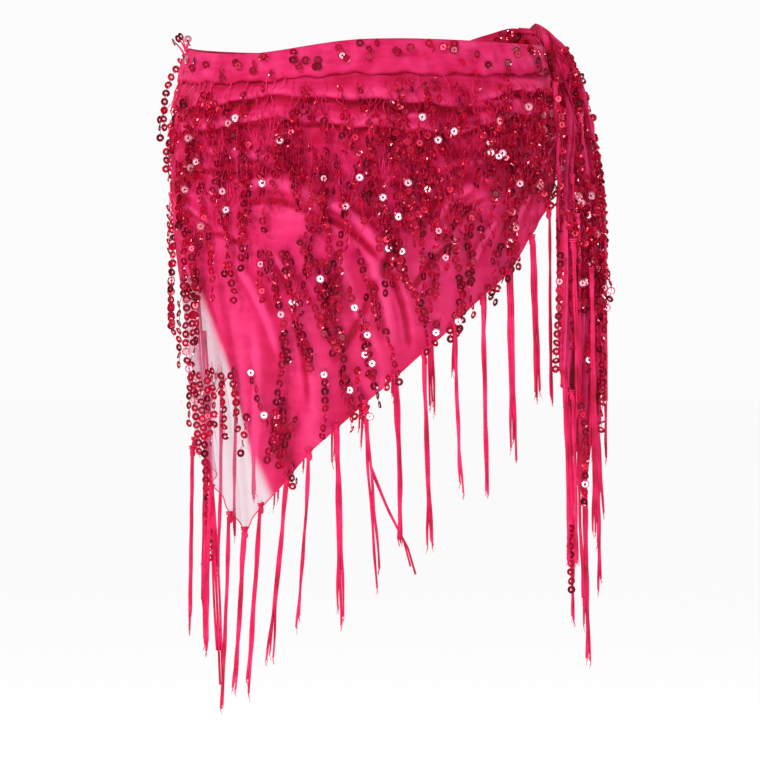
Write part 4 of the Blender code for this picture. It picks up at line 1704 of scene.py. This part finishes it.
# the tuft of net that sticks up at the right hip, with a few sequins: where each wisp
# starts, how far it reaches up and how far it leans
tuft = []
for angle, height, reach, lean in (
    (-84, -0.004, 0.014, -0.0040),
    (-83, -0.003, 0.010, 0.0015),
    (-85, -0.004, 0.012, -0.0065),
    (-82, -0.004, 0.008, 0.0030),
    (-86, -0.008, 0.013, -0.0090),
):
    steps = np.linspace(0, 1, 6)
    start = np.array(netPoint(angle, height, 0.004))
    path = start + np.array((0, 0, reach)) * steps[:, None]
    path = path + np.array((lean, -0.002, 0)) * (steps**1.6)[:, None]
    tuft.append((path, 0.0009 * (1.2 - 0.6 * steps)))
    out = outward(np.array(-55.0))
    frontUpper.sequinAt(path[-1], out, frontUpper.dice.gauss(0, 0.6), 0.4, 0)

threadLines = []
for name, group in (
    ("sequinsFrontUpper", frontUpper),
    ("sequinsFrontLower", frontLower),
    ("sequinsBackUpper", backUpper),
    ("sequinsBackLower", backLower),
    ("sequinsTails", tailChains),
):
    group.piece(name)
    threadLines += group.threads
threadLines += looseThreads(frontUpper, -84, 98, 420)
threadLines += looseThreads(backUpper, 124, 264, 260)
# one long cord of the fringe that has been caught and hangs in a bow
caught = np.array(
    (
        (0.001, -0.109, -0.352),
        (0.006, -0.1095, -0.391),
        (0.022, -0.110, -0.428),
        (0.039, -0.1105, -0.460),
        (0.046, -0.1105, -0.484),
    )
)
threadLines += [(caught, 0.0010), (caught * (0.9, 1.0, 0.985), 0.0009)]
# and two that hang down from the back past the right hip
for line in (
    ((-0.1500, -0.262), (-0.1450, -0.372), (-0.1415, -0.474), (-0.1370, -0.560)),
    ((-0.1560, -0.234), (-0.1480, -0.345), (-0.1395, -0.455), (-0.1340, -0.592)),
):
    points = curveThrough(line, 40)
    for gap in (-0.0010, 0.0010):
        cord = np.insert(points, 1, 0.02, axis=1)
        cord[:, 0] += gap * (1 + 0.4 * np.sin(np.linspace(0, 9, 40)))
        threadLines.append((cord, 0.0011))
threadMesh = cordMesh("sequinThreads", threadLines + tuft, sides=0)
addPiece("sequinThreads", threadMesh, cordMaterial)
print("sequins strung on", len(threadLines), "threads")


# the stage: a plain pale floor well below, soft studio light
stage = {
    "floorHeight": -0.98,
    "floorGlow": 0.68,
    "ambient": 0.30,
    "reflected": 0.10,
    "backdrop": 0.97,
    "lightsAim": (0.02, 0, -0.28),
}


def makeStage():
    floor = bmesh.new()
    bmesh.ops.create_circle(floor, cap_ends=True, segments=64, radius=150)
    bmesh.ops.translate(floor, verts=floor.verts, vec=(0, 0, stage["floorHeight"]))
    mesh = meshFrom(floor, "floor")
    paint, shader, material = newMaterial(
        "paleFloor",
        {
            "Base Color": (0.92, 0.92, 0.92, 1),
            "Roughness": 0.9,
            "Specular IOR Level": 0.0,
            "Emission Color": (1, 1, 1, 1),
            "Emission Strength": stage["floorGlow"],
        },
    )
    mesh.materials.append(material)
    ground = placed("floor", mesh)
    ground.visible_glossy = False

    world = bpy.data.worlds.new("studio")
    bpy.context.scene.world = world
    world.use_nodes = True
    paint = Paint(world.node_tree)
    background = world.node_tree.nodes["Background"]
    seen = paint.node("LightPath")
    mirrored = paint.node("LightPath", output=3)
    strength = stage["ambient"] + seen * (stage["backdrop"] - stage["ambient"])
    # sequins reflect a dim room, as in a studio with dark walls behind the camera
    strength = strength + mirrored * (stage["reflected"] - stage["ambient"])
    background.inputs["Color"].default_value = (1, 1, 1, 1)
    strength.feed(background, "Strength")


# lights: place, width, height, power
lights = (
    ("keyLight", (-2.0, -2.2, 1.9), 0.9, 0.9, 62),
    ("frontLight", (0.30, -4.3, 0.98), 0.8, 0.8, 37),
    ("fillLight", (2.6, -1.8, 0.2), 1.0, 1.4, 8),
    ("backLeft", (-1.9, 2.4, 1.3), 0.9, 0.9, 40),
    ("backRight", (1.8, 2.7, 0.9), 1.0, 1.0, 32),
    ("topLight", (0.0, 0.0, 2.6), 1.0, 1.0, 20),
)


def makeLights():
    aim = Vector(stage["lightsAim"])
    for name, place, width, height, power in lights:
        lamp = bpy.data.lights.new(name, "AREA")
        lamp.shape = "RECTANGLE"
        lamp.size, lamp.size_y, lamp.energy = width, height, power
        holder = placed(name, lamp)
        holder.location = place
        holder.rotation_euler = (aim - Vector(place)).to_track_quat("-Z", "Y").to_euler()


# the camera stands straight in front, half way down the scarf
camera = {
    "distance": 4.5,
    "across": 0.0138,
    "height": -0.308,
    "sensor": 36,
    "frame": 0.699,
    "frameDepth": 0.04,
}


def makeCamera():
    lens = bpy.data.cameras.new("camera")
    holder = placed("camera", lens)
    holder.location = (camera["across"], -camera["distance"], camera["height"])
    holder.rotation_euler = (math.pi / 2, 0, 0)
    lens.sensor_width = camera["sensor"]
    lens.lens = camera["sensor"] * (camera["distance"] - camera["frameDepth"]) / camera["frame"]
    lens.clip_end = 500
    bpy.context.scene.camera = holder


makeStage()
makeLights()
makeCamera()
bpy.context.scene.view_settings.view_transform = "Standard"
print("stage, lights and camera set")
